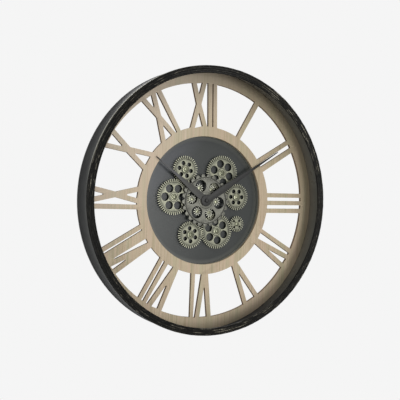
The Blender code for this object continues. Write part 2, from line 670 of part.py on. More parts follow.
def build_hands(looks):
    bore = circle(PIPE_R + GAP, SHAFT_SIDES)
    hour = slab_mesh("hour_hand", hand_outline(HOUR_LENGTH, HOUR_TURN), [bore], Y_HOUR_FRONT, Y_HOUR_BACK)
    new_object("hour_hand", hour, looks["charcoal"])
    bore = circle(ARBOR_R + GAP, SMALL_SIDES)
    minute = slab_mesh("minute_hand", hand_outline(MINUTE_LENGTH, MINUTE_TURN), [bore],
                       Y_MINUTE_FRONT, Y_MINUTE_BACK)
    new_object("minute_hand", minute, looks["charcoal"])
    pipe = ring_mesh("hour_pipe", PIPE_BORE_R, PIPE_R, Y_HOUR_FRONT, Y_BORE_END - GAP, SHAFT_SIDES)
    new_object("hour_pipe", pipe, looks["brass"])
    arbor = rod_mesh("minute_arbor", ARBOR_R, Y_MINUTE_FRONT - GAP, Y_BORE_END - GAP, SMALL_SIDES)
    new_object("minute_arbor", arbor, looks["bright_steel"])
    nut_back = Y_MINUTE_FRONT - 2 * GAP
    profile = ((0.0, nut_back), (NUT_R, nut_back),
               (DOME_SHOULDER * NUT_R, nut_back - DOME_RISE * NUT_HEIGHT), (0.0, nut_back - NUT_HEIGHT))
    new_object("hand_nut", turned_mesh("hand_nut", profile, SHAFT_SIDES, False), looks["charcoal"])


def tool(name, mesh, looks):
    return new_object(name, mesh, looks["black_plastic"])


def build_movement(looks):
    half = MOVEMENT_SIDE / 2
    body = box_mesh("quartz_movement", (-half, Y_WORKS_FRONT, -half), (half, Y_WORKS_BACK, half))
    movement = new_object("quartz_movement", body, looks["black_plastic"])
    spout_front = Y_FACE_FRONT - HAND_STANDOFF / 2
    spout = rod_mesh("spout", SPOUT_R, spout_front, Y_BORE_END, WHEEL_SIDES)
    combine(movement, tool("spout", spout, looks), "UNION")
    bore = rod_mesh("spout_bore", SPOUT_BORE_R, spout_front - PAST, Y_BORE_END, SHAFT_SIDES)
    combine(movement, tool("spout_bore", bore, looks), "DIFFERENCE")
    combine(movement, bay_tool("clock_bay", CELL_DROP, looks), "DIFFERENCE")
    stem_end = Y_WORKS_BACK - KNOB_STEM
    stem = rod_mesh("stem_hole", KNOB_STEM_R + RUN, stem_end, Y_WORKS_BACK + PAST, SMALL_SIDES)
    combine(movement, tool("stem_hole", moved_mesh(stem, 0.0, KNOB_RISE), looks), "DIFFERENCE")
    profile = ((0.0, Y_KNOB_BACK), (KNOB_R, Y_KNOB_BACK), (KNOB_R, Y_KNOB_FRONT),
               (KNOB_STEM_R, Y_KNOB_FRONT), (KNOB_STEM_R, stem_end + GAP), (0.0, stem_end + GAP))
    knob = turned_mesh("set_knob", profile, WHEEL_SIDES, False)
    new_object("set_knob", knob, looks["white_plastic"], (0.0, 0.0, KNOB_RISE))


def bay_tool(name, drop, looks):
    """The trough that holds a cell, open to the back."""
    half = BAY_LENGTH / 2
    low = (-half, Y_WORKS_FRONT + BAY_WALL - GAP, -drop - BAY_HALF)
    high = (half, Y_WORKS_BACK + PAST, -drop + BAY_HALF)
    return tool(name, box_mesh(name, low, high), looks)


def build_cell(name, drop, looks):
    half = CELL_LENGTH / 2
    nub = half + CELL_NUB
    profile = ((0.0, -half), (CELL_R, -half), (CELL_R, half), (CELL_NUB_R, half), (CELL_NUB_R, nub),
               (0.0, nub))
    mesh = turned_mesh(name, profile, SHAFT_SIDES, False)
    cell = new_object(name, mesh, looks["cell_wrap"], (-CELL_NUB / 2, CELL_Y, -drop))
    cell.rotation_euler = (0.0, 0.0, math.radians(-90))


def build_bridge(looks):
    """Channel-shaped sheet that carries the movement, the motor and the tray."""
    foot = Y_PLATE_BACK + GAP
    outline = ((foot, -BRIDGE_BOTTOM), (Y_BRIDGE_BACK, -BRIDGE_BOTTOM), (Y_BRIDGE_BACK, BRIDGE_TOP),
               (foot, BRIDGE_TOP), (foot, BRIDGE_TOP - BRIDGE_SHEET),
               (Y_BRIDGE_FRONT, BRIDGE_TOP - BRIDGE_SHEET),
               (Y_BRIDGE_FRONT, BRIDGE_SHEET - BRIDGE_BOTTOM), (foot, BRIDGE_SHEET - BRIDGE_BOTTOM))
    mesh = prism_mesh("movement_bridge", outline, -BRIDGE_LEFT, BRIDGE_RIGHT)
    bridge = new_object("movement_bridge", mesh, looks["bright_steel"])
    front = Y_BRIDGE_FRONT - PAST
    back = Y_BRIDGE_BACK + PAST
    bore = rod_mesh("bridge_bore", SPOUT_R + GAP, front, back, WHEEL_SIDES)
    shaft = rod_mesh("shaft_hole", MOTOR_SHAFT_R + RUN, front, back, SMALL_SIDES)
    cutters = joined_mesh("bridge_holes", (bore, moved_mesh(shaft, MOTOR_X, 0.0)))
    combine(bridge, tool("bridge_holes", cutters, looks), "DIFFERENCE")


def build_motor(looks):
    back = Y_WORKS_FRONT + MOTOR_LENGTH
    profile = ((0.0, back), (MOTOR_R, back), (MOTOR_R, Y_WORKS_FRONT), (MOTOR_SHAFT_R, Y_WORKS_FRONT),
               (MOTOR_SHAFT_R, Y_DRIVE_FRONT), (0.0, Y_DRIVE_FRONT))
    motor = turned_mesh("gear_motor", profile, WHEEL_SIDES, False)
    new_object("gear_motor", motor, looks["bright_steel"], (MOTOR_X, 0.0, 0.0))
    phase = meshing_phase(0.0, DRIVE_TEETH, 0.0, MOTOR_TEETH)
    pinion = slab_mesh("motor_pinion", gear_outline(MOTOR_TEETH, DRIVE_MODULE, phase),
                       [circle(MOTOR_SHAFT_R + GAP, SMALL_SIDES)], Y_DRIVE_FRONT, Y_DRIVE_BACK)
    new_object("motor_pinion", pinion, looks["brass"], (MOTOR_X, 0.0, 0.0))


def build_tray(looks):
    low = (-TRAY_END, Y_WORKS_FRONT, -TRAY_DROP - TRAY_HALF)
    high = (TRAY_END + SWITCH_BLOCK, Y_WORKS_BACK, -TRAY_DROP + TRAY_HALF)
    tray = new_object("battery_tray", box_mesh("battery_tray", low, high), looks["black_plastic"])
    combine(tray, bay_tool("tray_bay", TRAY_DROP, looks), "DIFFERENCE")
    side = SWITCH_SIDE / 2
    low = (-side, Y_KNOB_FRONT, -side)
    high = (side, Y_KNOB_FRONT + SWITCH_THICK, side)
    centre = (SWITCH_X - SWITCH_TRAVEL / 2, 0.0, -TRAY_DROP)
    new_object("gear_switch", box_mesh("gear_switch", low, high), looks["white_plastic"], centre)


def build_housing(looks):
    front = Y_PLATE_BACK + GAP
    back = Y_COVER_FRONT - GAP
    inner = HOUSING_R - HOUSING_WALL
    flange = HOUSING_R - HOUSING_FLANGE
    profile = ((HOUSING_R, front), (HOUSING_R, back), (inner, back), (inner, front + HOUSING_WALL),
               (flange, front + HOUSING_WALL), (flange, front))
    mesh = turned_mesh("drive_housing", profile, HOUSING_SIDES, True)
    housing = new_object("drive_housing", mesh, looks["black_plastic"])
    foot = front + HOUSING_WALL / 2
    lugs = [moved_mesh(rod_mesh("lug", LUG_R, foot, back, SMALL_SIDES), *place) for place in screw_places()]
    combine(housing, tool("lugs", joined_mesh("lugs", lugs), looks), "UNION")
    depth = Y_COVER_FRONT - SCREW_LENGTH - GAP
    bores = [moved_mesh(rod_mesh("lug_bore", SCREW_R + GAP, depth, back + PAST, SMALL_SIDES), *place)
             for place in screw_places()]
    combine(housing, tool("lug_bores", joined_mesh("lug_bores", bores), looks), "DIFFERENCE")


def screw_places():
    return [polar(SCREW_RING, 45 + 360 * i / SCREWS) for i in range(SCREWS)]


def door_corners(lap):
    """Low and high corner of the battery door, grown by a lap."""
    half = BAY_LENGTH / 2 + DOOR_LAP
    top = -CELL_DROP + BAY_HALF
    bottom = -TRAY_DROP - BAY_HALF - DOOR_LAP
    return (-half - lap, bottom - lap), (half + lap, top + lap)


def rectangle(low, high):
    return [(low[0], low[1]), (high[0], low[1]), (high[0], high[1]), (low[0], high[1])]


def keyhole(relief):
    """Round entry below, narrow slot above."""
    half = KEY_SLOT + relief
    radius = KEY_R + relief
    low = HANGER_Z - KEY_DROP
    shoulder = math.degrees(math.asin(half / radius))
    bottom = [polar(radius, 90 + shoulder + (360 - 2 * shoulder) * i / 14) for i in range(15)]
    top = [polar(half, 180 * i / 6) for i in range(7)]
    return [(x, z + low) for x, z in bottom] + [(x, z + low + KEY_RISE) for x, z in top]


def cover_holes():
    """Door opening, switch slot, knob hole and the window over the hanger's keyhole."""
    half = (SWITCH_SIDE + SWITCH_TRAVEL) / 2 + GAP
    rise = SWITCH_SIDE / 2 + GAP
    slot = rectangle((SWITCH_X - half, -TRAY_DROP - rise), (SWITCH_X + half, -TRAY_DROP + rise))
    knob_hole = circle(KNOB_R + KNOB_CLEAR, WHEEL_SIDES, (0.0, KNOB_RISE))
    return [rectangle(*door_corners(GAP)), slot, knob_hole, keyhole(KEY_RELIEF)]


def build_cover(looks):
    mesh = slab_mesh("back_cover", circle(HOUSING_R, HOUSING_SIDES), cover_holes(), Y_COVER_FRONT, 0.0)
    cover = new_object("back_cover", mesh, looks["black_plastic"])
    wide = SCREW_HEAD_R + GAP
    narrow = SCREW_R + GAP
    sink = ((0.0, Y_COVER_FRONT - PAST), (narrow, Y_COVER_FRONT - PAST), (narrow, Y_COVER_FRONT),
            (wide, -GAP), (wide, PAST), (0.0, PAST))
    sinks = [moved_mesh(turned_mesh("sink", sink, SMALL_SIDES, False), *place) for place in screw_places()]
    combine(cover, tool("screw_sinks", joined_mesh("screw_sinks", sinks), looks), "DIFFERENCE")
    tip = Y_COVER_FRONT - SCREW_LENGTH
    screw = ((0.0, -GAP), (SCREW_HEAD_R, -GAP), (SCREW_R, Y_COVER_FRONT), (SCREW_R, tip), (0.0, tip))
    for i, (x, z) in enumerate(screw_places()):
        mesh = turned_mesh("cover_screw", screw, SMALL_SIDES, False)
        new_object(f"cover_screw_{i + 1}", mesh, looks["bright_steel"], (x, 0.0, z))
    door = slab_mesh("battery_door", rectangle(*door_corners(0.0)), [], Y_COVER_FRONT, 0.0)
    new_object("battery_door", door, looks["black_plastic"])


def build_hanger(looks):
    """Steel plate inside the cover whose keyhole takes the wall screw."""
    back = Y_COVER_FRONT - GAP
    half = HANGER_WIDTH / 2
    rise = HANGER_HEIGHT / 2
    outline = rectangle((-half, HANGER_Z - rise), (half, HANGER_Z + rise))
    hanger = slab_mesh("hanger_plate", outline, [keyhole(0.0)], back - HANGER_THICK, back)
    new_object("hanger_plate", hanger, looks["bright_steel"])


def main():
    for obj in list(bpy.data.objects):
        bpy.data.objects.remove(obj, do_unlink=True)
    looks = make_materials()
    build_rim(looks)
    build_dial(looks)
    build_centre_drive(looks)
    build_train(looks)
    build_hands(looks)
    build_movement(looks)
    build_cell("clock_battery", CELL_DROP, looks)
    build_cell("gear_battery", TRAY_DROP, looks)
    build_bridge(looks)
    build_motor(looks)
    build_tray(looks)
    build_housing(looks)
    build_cover(looks)
    build_hanger(looks)


main()
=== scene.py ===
# %% [markdown]
# # A wall clock with an open oak dial and a working gear train
#
# The clock exists already as exact solids in one frame, in metres, each at its real place
# and each on the body that moves it. This lesson dresses that frame. A solid whose shape
# is right keeps it and gets a real finish. The others are modelled again, with the beads,
# chamfers and rounded corners that a maker would give them.
# Depth runs along Y: the wall is at 0, and the front of the clock looks towards -Y.

# %% Load the frame
import json
import math
from collections import namedtuple

import bmesh
import bpy
from mathutils import Matrix, Vector, noise


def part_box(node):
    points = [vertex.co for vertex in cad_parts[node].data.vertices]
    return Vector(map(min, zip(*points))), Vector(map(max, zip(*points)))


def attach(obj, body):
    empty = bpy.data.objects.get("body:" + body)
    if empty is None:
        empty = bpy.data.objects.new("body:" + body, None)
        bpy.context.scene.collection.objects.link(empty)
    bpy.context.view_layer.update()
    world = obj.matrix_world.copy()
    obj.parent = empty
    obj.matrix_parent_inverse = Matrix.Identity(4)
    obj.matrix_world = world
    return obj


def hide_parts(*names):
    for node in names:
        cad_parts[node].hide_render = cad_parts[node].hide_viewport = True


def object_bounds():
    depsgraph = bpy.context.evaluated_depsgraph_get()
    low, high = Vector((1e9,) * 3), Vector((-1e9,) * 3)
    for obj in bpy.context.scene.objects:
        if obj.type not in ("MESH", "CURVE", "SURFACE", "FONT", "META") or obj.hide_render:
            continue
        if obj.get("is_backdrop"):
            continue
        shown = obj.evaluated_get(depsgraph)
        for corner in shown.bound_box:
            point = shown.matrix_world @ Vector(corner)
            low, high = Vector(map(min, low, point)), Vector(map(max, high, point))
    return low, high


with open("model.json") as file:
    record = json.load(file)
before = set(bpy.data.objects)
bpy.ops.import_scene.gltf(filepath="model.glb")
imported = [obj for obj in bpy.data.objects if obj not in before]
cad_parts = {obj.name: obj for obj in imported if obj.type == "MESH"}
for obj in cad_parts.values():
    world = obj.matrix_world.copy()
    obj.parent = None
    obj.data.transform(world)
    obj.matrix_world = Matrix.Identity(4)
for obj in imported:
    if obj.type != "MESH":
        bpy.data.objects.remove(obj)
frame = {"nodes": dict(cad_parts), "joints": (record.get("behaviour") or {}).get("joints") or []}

MM = 0.001
nodes = frame["nodes"]
cad_low, cad_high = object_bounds()
pivots = {joint["child"]: joint.get("pos_m") for joint in frame["joints"]}
print("solids:", len(nodes), "size in mm:", [round(side / MM, 1) for side in cad_high - cad_low])

# %% [markdown]
# ## The camera
# The clock is seen from the left, at the height of its centre, so its circles are tall
# ellipses. The lens and the place come from matching the ellipses of the rim, the dial's
# hole and the disc; the small roll is there because the picture was held slightly askew.

# %% Place the camera
CAMERA_PLACE = Vector((-0.7053, -1.3346, 0.0069))
CAMERA_YAW = 28.027
CAMERA_PITCH = -0.242
CAMERA_ROLL = 1.95
CAMERA_LENS = 57.94
SENSOR_WIDTH = 36.0


def into_scene(thing):
    bpy.context.scene.collection.objects.link(thing)
    return thing


def make_camera():
    yaw, pitch = math.radians(CAMERA_YAW), math.radians(CAMERA_PITCH)
    forward = Vector((math.sin(yaw) * math.cos(pitch), math.cos(yaw) * math.cos(pitch), math.sin(pitch)))
    aim = forward.to_track_quat("-Z", "Y").to_matrix().to_4x4()
    data = bpy.data.cameras.new("camera")
    data.sensor_width = SENSOR_WIDTH
    data.lens = CAMERA_LENS
    camera = into_scene(bpy.data.objects.new("camera", data))
    roll = Matrix.Rotation(math.radians(CAMERA_ROLL), 4, "Z")
    camera.matrix_world = Matrix.Translation(CAMERA_PLACE) @ aim @ roll
    bpy.context.scene.camera = camera
    return camera


camera = make_camera()
bpy.context.scene.view_settings.view_transform = "Standard"
print("camera:", round(camera.location.length, 3), "m from the middle of the dial")

# %% [markdown]
# ## A small kit for finishes
# A finish is a Principled shader fed by noise. These helpers add and wire its nodes, so that
# a recipe reads from top to bottom. Patterns read Object coordinates, which are in metres
# here because every piece sits at the origin, so a scale of 1000 means millimetres. What is
# the same all over a surface is set on the shader's own sockets.

# %% Helpers for finishes
def linear(code):
    """The linear colour of six hex digits, as the shader wants it."""
    channels = [int(code[i : i + 2], 16) / 255 for i in (0, 2, 4)]
    return [c / 12.92 if c <= 0.04045 else ((c + 0.055) / 1.055) ** 2.4 for c in channels] + [1.0]


def feed(finish, node, feeds):
    """Gives inputs of a node, by name or place, a value or another node's output."""
    for key, value in feeds.items():
        if isinstance(value, bpy.types.NodeSocket):
            finish.node_tree.links.new(value, node.inputs[key])
        else:
            node.inputs[key].default_value = value


def set_shader(finish, feeds):
    feed(finish, finish.node_tree.nodes["Principled BSDF"], feeds)


def new_finish(name, roughness, metallic=0.0, gloss=0.5, coat=0.0):
    """gloss is the specular level: 0.5 for clear lacquer, less for matt paint and wood."""
    finish = bpy.data.materials.new(name)
    finish.use_nodes = True
    set_shader(finish, {"Roughness": roughness, "Metallic": metallic, "Specular IOR Level": gloss,
                        "Coat Weight": coat})
    return finish


def add(finish, kind, feeds, **settings):
    """One more node, fed and set."""
    node = finish.node_tree.nodes.new("ShaderNode" + kind)
    for key, value in settings.items():
        setattr(node, key, value)
    feed(finish, node, feeds)
    return node


def where(finish):
    """The Object coordinates of a point."""
    return add(finish, "TexCoord", {}).outputs["Object"]


def spread(finish, x, y, z):
    """The same, stretched: a large number makes a fine pattern along that way."""
    return add(finish, "Mapping", {"Vector": where(finish), "Scale": (x, y, z)}).outputs["Vector"]


def grain(finish, vector, detail=2.0, roughness=0.5):
    feeds = {"Vector": vector, "Scale": 1.0, "Detail": detail, "Roughness": roughness}
    return add(finish, "TexNoise", feeds).outputs["Fac"]


def even_grain(finish, scale, detail=2.0, roughness=0.5):
    """Noise that is as fine in every direction."""
    return grain(finish, spread(finish, scale, scale, scale), detail, roughness)


def graded(finish, fac, *stops):
    """A colour for each level of fac; each stop is a level and six hex digits."""
    node = add(finish, "ValToRGB", {"Fac": fac})
    ramp = node.color_ramp
    for element, (level, code) in zip(ramp.elements, (stops[0], stops[-1])):
        element.position, element.color = level, linear(code)
    for level, code in stops[1:-1]:
        ramp.elements.new(level).color = linear(code)
    return node.outputs["Color"]


def levels(finish, value, low, high, to_low=0.0, to_high=1.0):
    """A value's range, stretched or turned round, and held at its ends."""
    feeds = {"Value": value, 1: low, 2: high, 3: to_low, 4: to_high}
    return add(finish, "MapRange", feeds).outputs["Result"]


def combined(finish, operation, first, *others):
    for other in others:
        first = add(finish, "Math", {0: first, 1: other}, operation=operation).outputs[0]
    return first


def times(finish, *values):
    return combined(finish, "MULTIPLY", *values)


def total(finish, *values):
    return combined(finish, "ADD", *values)


def mixed(finish, fac, first, second):
    """Two colours mixed; each is an output or six hex digits."""
    first, second = (linear(c) if isinstance(c, str) else c for c in (first, second))
    return add(finish, "Mix", {0: fac, 6: first, 7: second}, data_type="RGBA").outputs[2]


def layer(finish, colour, code, value, low, high, most=1.0):
    """Lays a colour over another where a value goes from low to high, and at most that much."""
    return mixed(finish, levels(finish, value, low, high, 0.0, most), colour, code)


def paint(finish, colour):
    set_shader(finish, {"Base Color": colour})


def roughen(finish, fine, least, most, low=0.3):
    set_shader(finish, {"Roughness": levels(finish, fine, low, 0.7, least, most)})


def relief(finish, height, millimetres, strength):
    feeds = {"Height": height, "Distance": millimetres * MM, "Strength": strength}
    set_shader(finish, {"Normal": add(finish, "Bump", feeds).outputs["Normal"]})


def vectors(finish, operation, *operands, output=0):
    return add(finish, "VectorMath", dict(enumerate(operands)), operation=operation).outputs[output]


def along_way(finish, way):
    """How far a point lies in a direction from the middle of the dial, in metres."""
    return vectors(finish, "DOT_PRODUCT", where(finish), way, output="Value")


def on_dial(finish):
    """Where a point lies when the clock is pressed flat."""
    return vectors(finish, "MULTIPLY", where(finish), (1.0, 0.0, 1.0))


def from_middle(finish):
    """How far a point lies from the dial's axis, in metres."""
    return vectors(finish, "LENGTH", on_dial(finish), output="Value")


def around(finish, along, depth, across):
    """Noise that follows the dial's circles and closes on itself, read in four dimensions."""
    way = vectors(finish, "NORMALIZE", on_dial(finish))
    deep = vectors(finish, "MULTIPLY", where(finish), (0.0, depth, 0.0))
    place = vectors(finish, "MULTIPLY_ADD", way, (along, along, along), deep)
    feeds = {"Vector": place, "W": times(finish, from_middle(finish), across), "Scale": 1.0, "Detail": 3.0}
    return add(finish, "TexNoise", feeds, noise_dimensions="4D").outputs["Fac"]


print("finish kit ready")

# %% [markdown]
# ## The studio
# A pale room with soft light. Camera, glossy and transmitted rays see the pale backdrop
# itself, so metal reflects it too, while the room's own light on the clock is weaker.
# The main softbox hangs in front at the upper right: the deep rim then shades the right side
# of the dial, as in the picture. A second one stands nearly straight in front, a tall one at
# the left draws the soft streak on the rim's side, and one behind lights the back. The floor
# lies a metre below, because the clock hangs, and fades into the backdrop.

# %% Light the studio
BACKDROP = "f5f5f5"
ROOM_LIGHT = 0.54
FLOOR_DROP = 1.0
FLOOR_RADIUS = 1.7


def make_room():
    world = bpy.data.worlds.new("room")
    world.use_nodes = True
    bpy.context.scene.world = world
    seen = world.node_tree.nodes["Background"]
    feed(world, seen, {"Color": linear(BACKDROP)})
    lit = add(world, "Background", {"Color": linear(BACKDROP), "Strength": ROOM_LIGHT})
    rays = add(world, "LightPath", {}).outputs
    sees = combined(world, "MAXIMUM", rays["Is Camera Ray"], rays["Is Glossy Ray"],
                    rays["Is Transmission Ray"])
    mix = add(world, "MixShader", {0: sees, 1: lit.outputs[0], 2: seen.outputs[0]})
    feed(world, world.node_tree.nodes["World Output"], {"Surface": mix.outputs[0]})


def as_object(bm, name, *finishes):
    mesh = bpy.data.meshes.new(name)
    bm.to_mesh(mesh)
    bm.free()
    for finish in finishes:
        mesh.materials.append(finish)
    return into_scene(bpy.data.objects.new(name, mesh))


def softbox(name, place, width, height, watts):
    data = bpy.data.lights.new(name, "AREA")
    data.shape = "RECTANGLE"
    data.size, data.size_y, data.energy = width, height, watts
    lamp = into_scene(bpy.data.objects.new(name, data))
    lamp.location = place
    lamp.rotation_euler = (-Vector(place)).to_track_quat("-Z", "Y").to_euler()


def make_floor():
    """A pale disc that catches the shadow; towards its edge it fades into the backdrop."""
    finish = new_finish("studio_floor", 0.9)
    shrunk = spread(finish, 1 / FLOOR_RADIUS, 1 / FLOOR_RADIUS, 0.0)
    ball = add(finish, "TexGradient", {"Vector": shrunk}, gradient_type="SPHERICAL")
    set_shader(finish, {"Alpha": levels(finish, ball.outputs["Fac"], 0.0, 0.6)})
    paint(finish, linear("efefee"))
    bm = bmesh.new()
    bmesh.ops.create_circle(bm, cap_ends=True, radius=FLOOR_RADIUS, segments=96,
                            matrix=Matrix.Translation((0.0, 0.0, -FLOOR_DROP)))
    as_object(bm, "studio_floor", finish)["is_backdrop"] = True


make_room()
softbox("softbox_above", (0.75, -1.2, 1.65), 1.1, 1.0, 16.0)
softbox("softbox_front", (0.42, -2.3, -0.1), 0.5, 1.0, 17.0)
softbox("softbox_left", (-1.9, -1.2, 0.9), 0.6, 1.4, 10.0)
softbox("softbox_behind", (0.6, 1.9, 1.2), 1.4, 1.0, 14.0)
make_floor()
print("lamps:", len(bpy.data.lights))

# %% [markdown]
# ## A small kit for shapes
# Three ways of making cover nearly everything on a clock. A turned piece is a section spun
# round an axis. A stamped or cast piece is a set of closed rings, bridged where they form a
# wall and filled where they form a flat face. And a board or a hand is a copy of its solid
# whose edges get the small rounding that cutting, sanding and paint leave behind.

# %% Helpers for shapes
def turn(bm, section, steps, centre=(0.0, 0.0), closed=False):
    """Spins a section, given as radius and depth in millimetres, round an axis along Y."""
    old = set(bm.verts)
    verts = [bm.verts.new((radius * MM, depth * MM, 0.0)) for radius, depth in section]
    pairs = list(zip(verts, verts[1:])) + ([(verts[-1], verts[0])] if closed else [])
    edges = [bm.edges.new(pair) for pair in pairs]
    bmesh.ops.spin(bm, geom=verts + edges, cent=(0.0, 0.0, 0.0), axis=(0.0, 1.0, 0.0),
                   angle=math.tau, steps=steps, use_merge=True)
    made = [vert for vert in bm.verts if vert not in old]
    bmesh.ops.remove_doubles(bm, verts=made, dist=1e-6)
    made = [vert for vert in bm.verts if vert not in old]
    bmesh.ops.translate(bm, verts=made, vec=(centre[0] * MM, 0.0, centre[1] * MM))


def loop_of(verts):
    """The closed ring of edges that joins the points of a new circle."""
    return list({edge for vert in verts for edge in vert.link_edges})


def wear_layer(bm):
    """How rubbed each point is: 1 on bare edges, 0 on faces, -1 where grooves are darker."""
    return bm.verts.layers.float.get("wear") or bm.verts.layers.float.new("wear")


def ring(bm, radius, depth, count, centre, wear=0.0):
    """A ring in millimetres: a fill takes points closer than 0.03 units for one, so metres fail."""
    worn = wear_layer(bm)
    place = Matrix.Translation((centre[0], depth, centre[1]))
    made = bmesh.ops.create_circle(bm, cap_ends=False, radius=radius, segments=count,
                                   matrix=place @ Matrix.Rotation(math.radians(90), 4, "X"))
    for vert in made["verts"]:
        vert[worn] = wear
    return loop_of(made["verts"])


def toothed(bm, teeth, corners, phase, depth, centre, root_wear=0.0, tip_wear=0.0):
    """A circle with a point for each corner of each tooth, pulled to radius and share of pitch."""
    worn = wear_layer(bm)
    made = bmesh.ops.create_circle(bm, cap_ends=False, radius=1.0, segments=teeth * len(corners))
    lowest = min(corners)[0]
    height = max(corners)[0] - lowest or 1.0
    for i, vert in enumerate(made["verts"]):
        tooth, corner = divmod(i, len(corners))
        radius, share = corners[corner]
        angle = math.radians(phase + 360 * (tooth + share) / teeth)
        vert.co = centre[0] + radius * math.cos(angle), depth, centre[1] + radius * math.sin(angle)
        vert[worn] = root_wear + (tip_wear - root_wear) * (radius - lowest) / height
    return loop_of(made["verts"])


def bridge(bm, *loops):
    for first, second in zip(loops, loops[1:]):
        bmesh.ops.bridge_loops(bm, edges=first + second)


def fill(bm, *loops):
    edges = [edge for loop in loops for edge in loop]
    bmesh.ops.triangle_fill(bm, use_beauty=True, edges=edges, normal=(0.0, 1.0, 0.0))


def close_inwards(bm, outer, inner):
    """Flat from an outer ring to the first inner one, down the others, and flat again."""
    fill(bm, outer, inner[0])
    bridge(bm, *inner)
    fill(bm, inner[-1])


def to_metres(bm):
    bmesh.ops.scale(bm, vec=(MM, MM, MM), verts=bm.verts)


def copy_of(node):
    """A welded copy of a solid's mesh, with its flat faces made whole again."""
    bm = bmesh.new()
    bm.from_mesh(nodes[node].data)
    bmesh.ops.remove_doubles(bm, verts=bm.verts, dist=1e-6)
    bmesh.ops.dissolve_limit(bm, angle_limit=math.radians(0.5), verts=bm.verts, edges=bm.edges)
    bmesh.ops.recalc_face_normals(bm, faces=bm.faces)
    return bm


ROUNDING = 0.3


def soften(bm, edges, width, segments):
    bmesh.ops.bevel(bm, geom=edges, offset=width * MM, offset_type="OFFSET", segments=segments,
                    profile=0.5, affect="EDGES", clamp_overlap=True, material=-1)


def folds(bm, least=60.0):
    """The edges where two faces meet at more than this many degrees."""
    return [edge for edge in bm.edges
            if len(edge.link_faces) == 2 and edge.calc_face_angle() > math.radians(least)]


def settle(bm, name, body, finishes, replaced, sharp=35.0):
    """Turns the faces outwards, makes the piece and puts it on the body that carries it."""
    bmesh.ops.recalc_face_normals(bm, faces=bm.faces)
    holes = sum(len(edge.link_faces) != 2 for edge in bm.edges)
    piece = as_object(bm, name, *finishes)
    piece.data.shade_smooth()
    piece.data.set_sharp_from_angle(angle=math.radians(sharp))
    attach(piece, body)
    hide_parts(*replaced)
    print(name, "faces:", len(piece.data.polygons), "open edges:", holes)


def dress(finish, *names):
    """Gives solids that keep their own shape a real finish."""
    for name in names:
        nodes[name].material_slots[0].material = finish


print("shape kit ready")

# %% [markdown]
# ## The rim
# The rim is a deep band of sheet iron with a flange at the back that carries the dial. A
# maker rolls a shallow bead near both edges to stiffen such a band, so the section has them
# too, 0.6 mm high. One section spun in 288 steps gives the whole band.
# Its paint is a dark satin grey. Sprayed paint on a rolled band shows faint drawn lines
# along the band and a slow change of tone, so both noises follow the circle. Outside, painted
# light makes the band paler towards the lip. Inside, out of the hands' reach, the same paint
# has kept its gloss and mirrors the oak; over it lies a painted reflection, warm like the oak
# near the dial, and a painted dark reflection towards the bottom. So the band carries two
# finishes, chosen face by face. At the upper left a fine pale painted highlight runs along the
# bead beside the lip.

# %% Paint for the rim
RIM_STEPS = 288
LIP_FRONT = -89.0
DIAL_FACE = -37.7
UPPER_LEFT, UPPER_RIGHT = (-0.766, 0.0, 0.643), (0.766, 0.0, 0.643)
RIGHT, DOWN = (1.0, 0.0, 0.0), (0.0, 0.0, -1.0)


def towards_lip(finish):
    """From 0 at the dial's face to 1 at the lip."""
    depth = add(finish, "SeparateXYZ", {0: where(finish)}).outputs[1]
    return levels(finish, depth, DIAL_FACE * MM, LIP_FRONT * MM)


def rim_paint():
    finish = new_finish("rim_paint", 0.5, gloss=0.11)
    tone = around(finish, 9.0, 40.0, 30.0)
    lines = around(finish, 14.0, 900.0, 600.0)
    colour = graded(finish, tone, (0.3, "1f2020"), (0.55, "262727"), (0.75, "2e2f2e"))
    colour = layer(finish, colour, "45443f", lines, 0.62, 0.8, 0.5)
    # Painted light: the outer band is paler towards the lip.
    colour = layer(finish, colour, "434440", towards_lip(finish), 0.6, 1.0, 0.6)
    # Painted highlight: a fine pale line on the bead beside the lip, only at the upper left.
    bead = times(finish, levels(finish, towards_lip(finish), 0.82, 0.9),
                 levels(finish, lines, 0.35, 0.6, 0.4, 1.0),
                 levels(finish, along_way(finish, UPPER_LEFT), 0.25, 0.295))
    paint(finish, mixed(finish, bead, colour, "cccabd"))
    roughen(finish, lines, 0.44, 0.56)
    relief(finish, lines, 0.04, 0.4)
    return finish


def inner_paint():
    """The same paint out of the hands' reach: still glossy, with a painted reflection of the oak near the
    dial and a painted dark reflection towards the bottom.
    """
    finish = new_finish("inner_paint", 0.3, gloss=0.4)
    tone = around(finish, 9.0, 40.0, 30.0)
    # Painted reflection: warm like the oak near the dial, grey towards the lip.
    painted_reflection = graded(finish, towards_lip(finish), (0.0, "6e685c"), (0.25, "66645c"), (0.6, "535551"),
                  (1.0, "424543"))
    painted_reflection = layer(finish, painted_reflection, "454744", tone, 0.3, 0.7, 0.4)
    # Painted dark reflection: the inner wall darkens towards the bottom.
    paint(finish, layer(finish, painted_reflection, "191d21", along_way(finish, DOWN), 0.14, 0.26, 0.9))
    roughen(finish, tone, 0.24, 0.38)
    return finish


# %% Model the band
BAND_INSIDE, FLANGE_MIDDLE = 298.5, -30.0
BAND_SECTION = (
    (300.0, -86.7), (300.0, -83.6), (299.8, -83.0), (299.4, -82.6), (299.4, -32.8), (299.8, -32.2),
    (300.0, -31.6), (300.0, -25.6), (299.8, -25.2), (299.3, -25.0), (298.4, -25.0), (298.1, -25.2),
    (298.0, -25.6), (298.0, -28.6), (297.4, -29.0), (285.5, -29.0), (285.1, -29.2), (285.0, -29.6),
    (285.0, -30.5), (285.5, -31.0), (297.0, -31.0), (297.8, -31.4), (298.0, -32.2), (298.0, -86.7))


def make_band():
    bm = bmesh.new()
    turn(bm, BAND_SECTION, RIM_STEPS, closed=True)
    for face in bm.faces:
        middle = face.calc_center_median() / MM
        outside = math.hypot(middle.x, middle.z) > BAND_INSIDE or middle.y > FLANGE_MIDDLE
        face.material_index = 0 if outside else 1
    settle(bm, "rim_wall", "clock_body", [rim_paint(), inner_paint()],
           ("rim_band", "rim_flange"))


make_band()
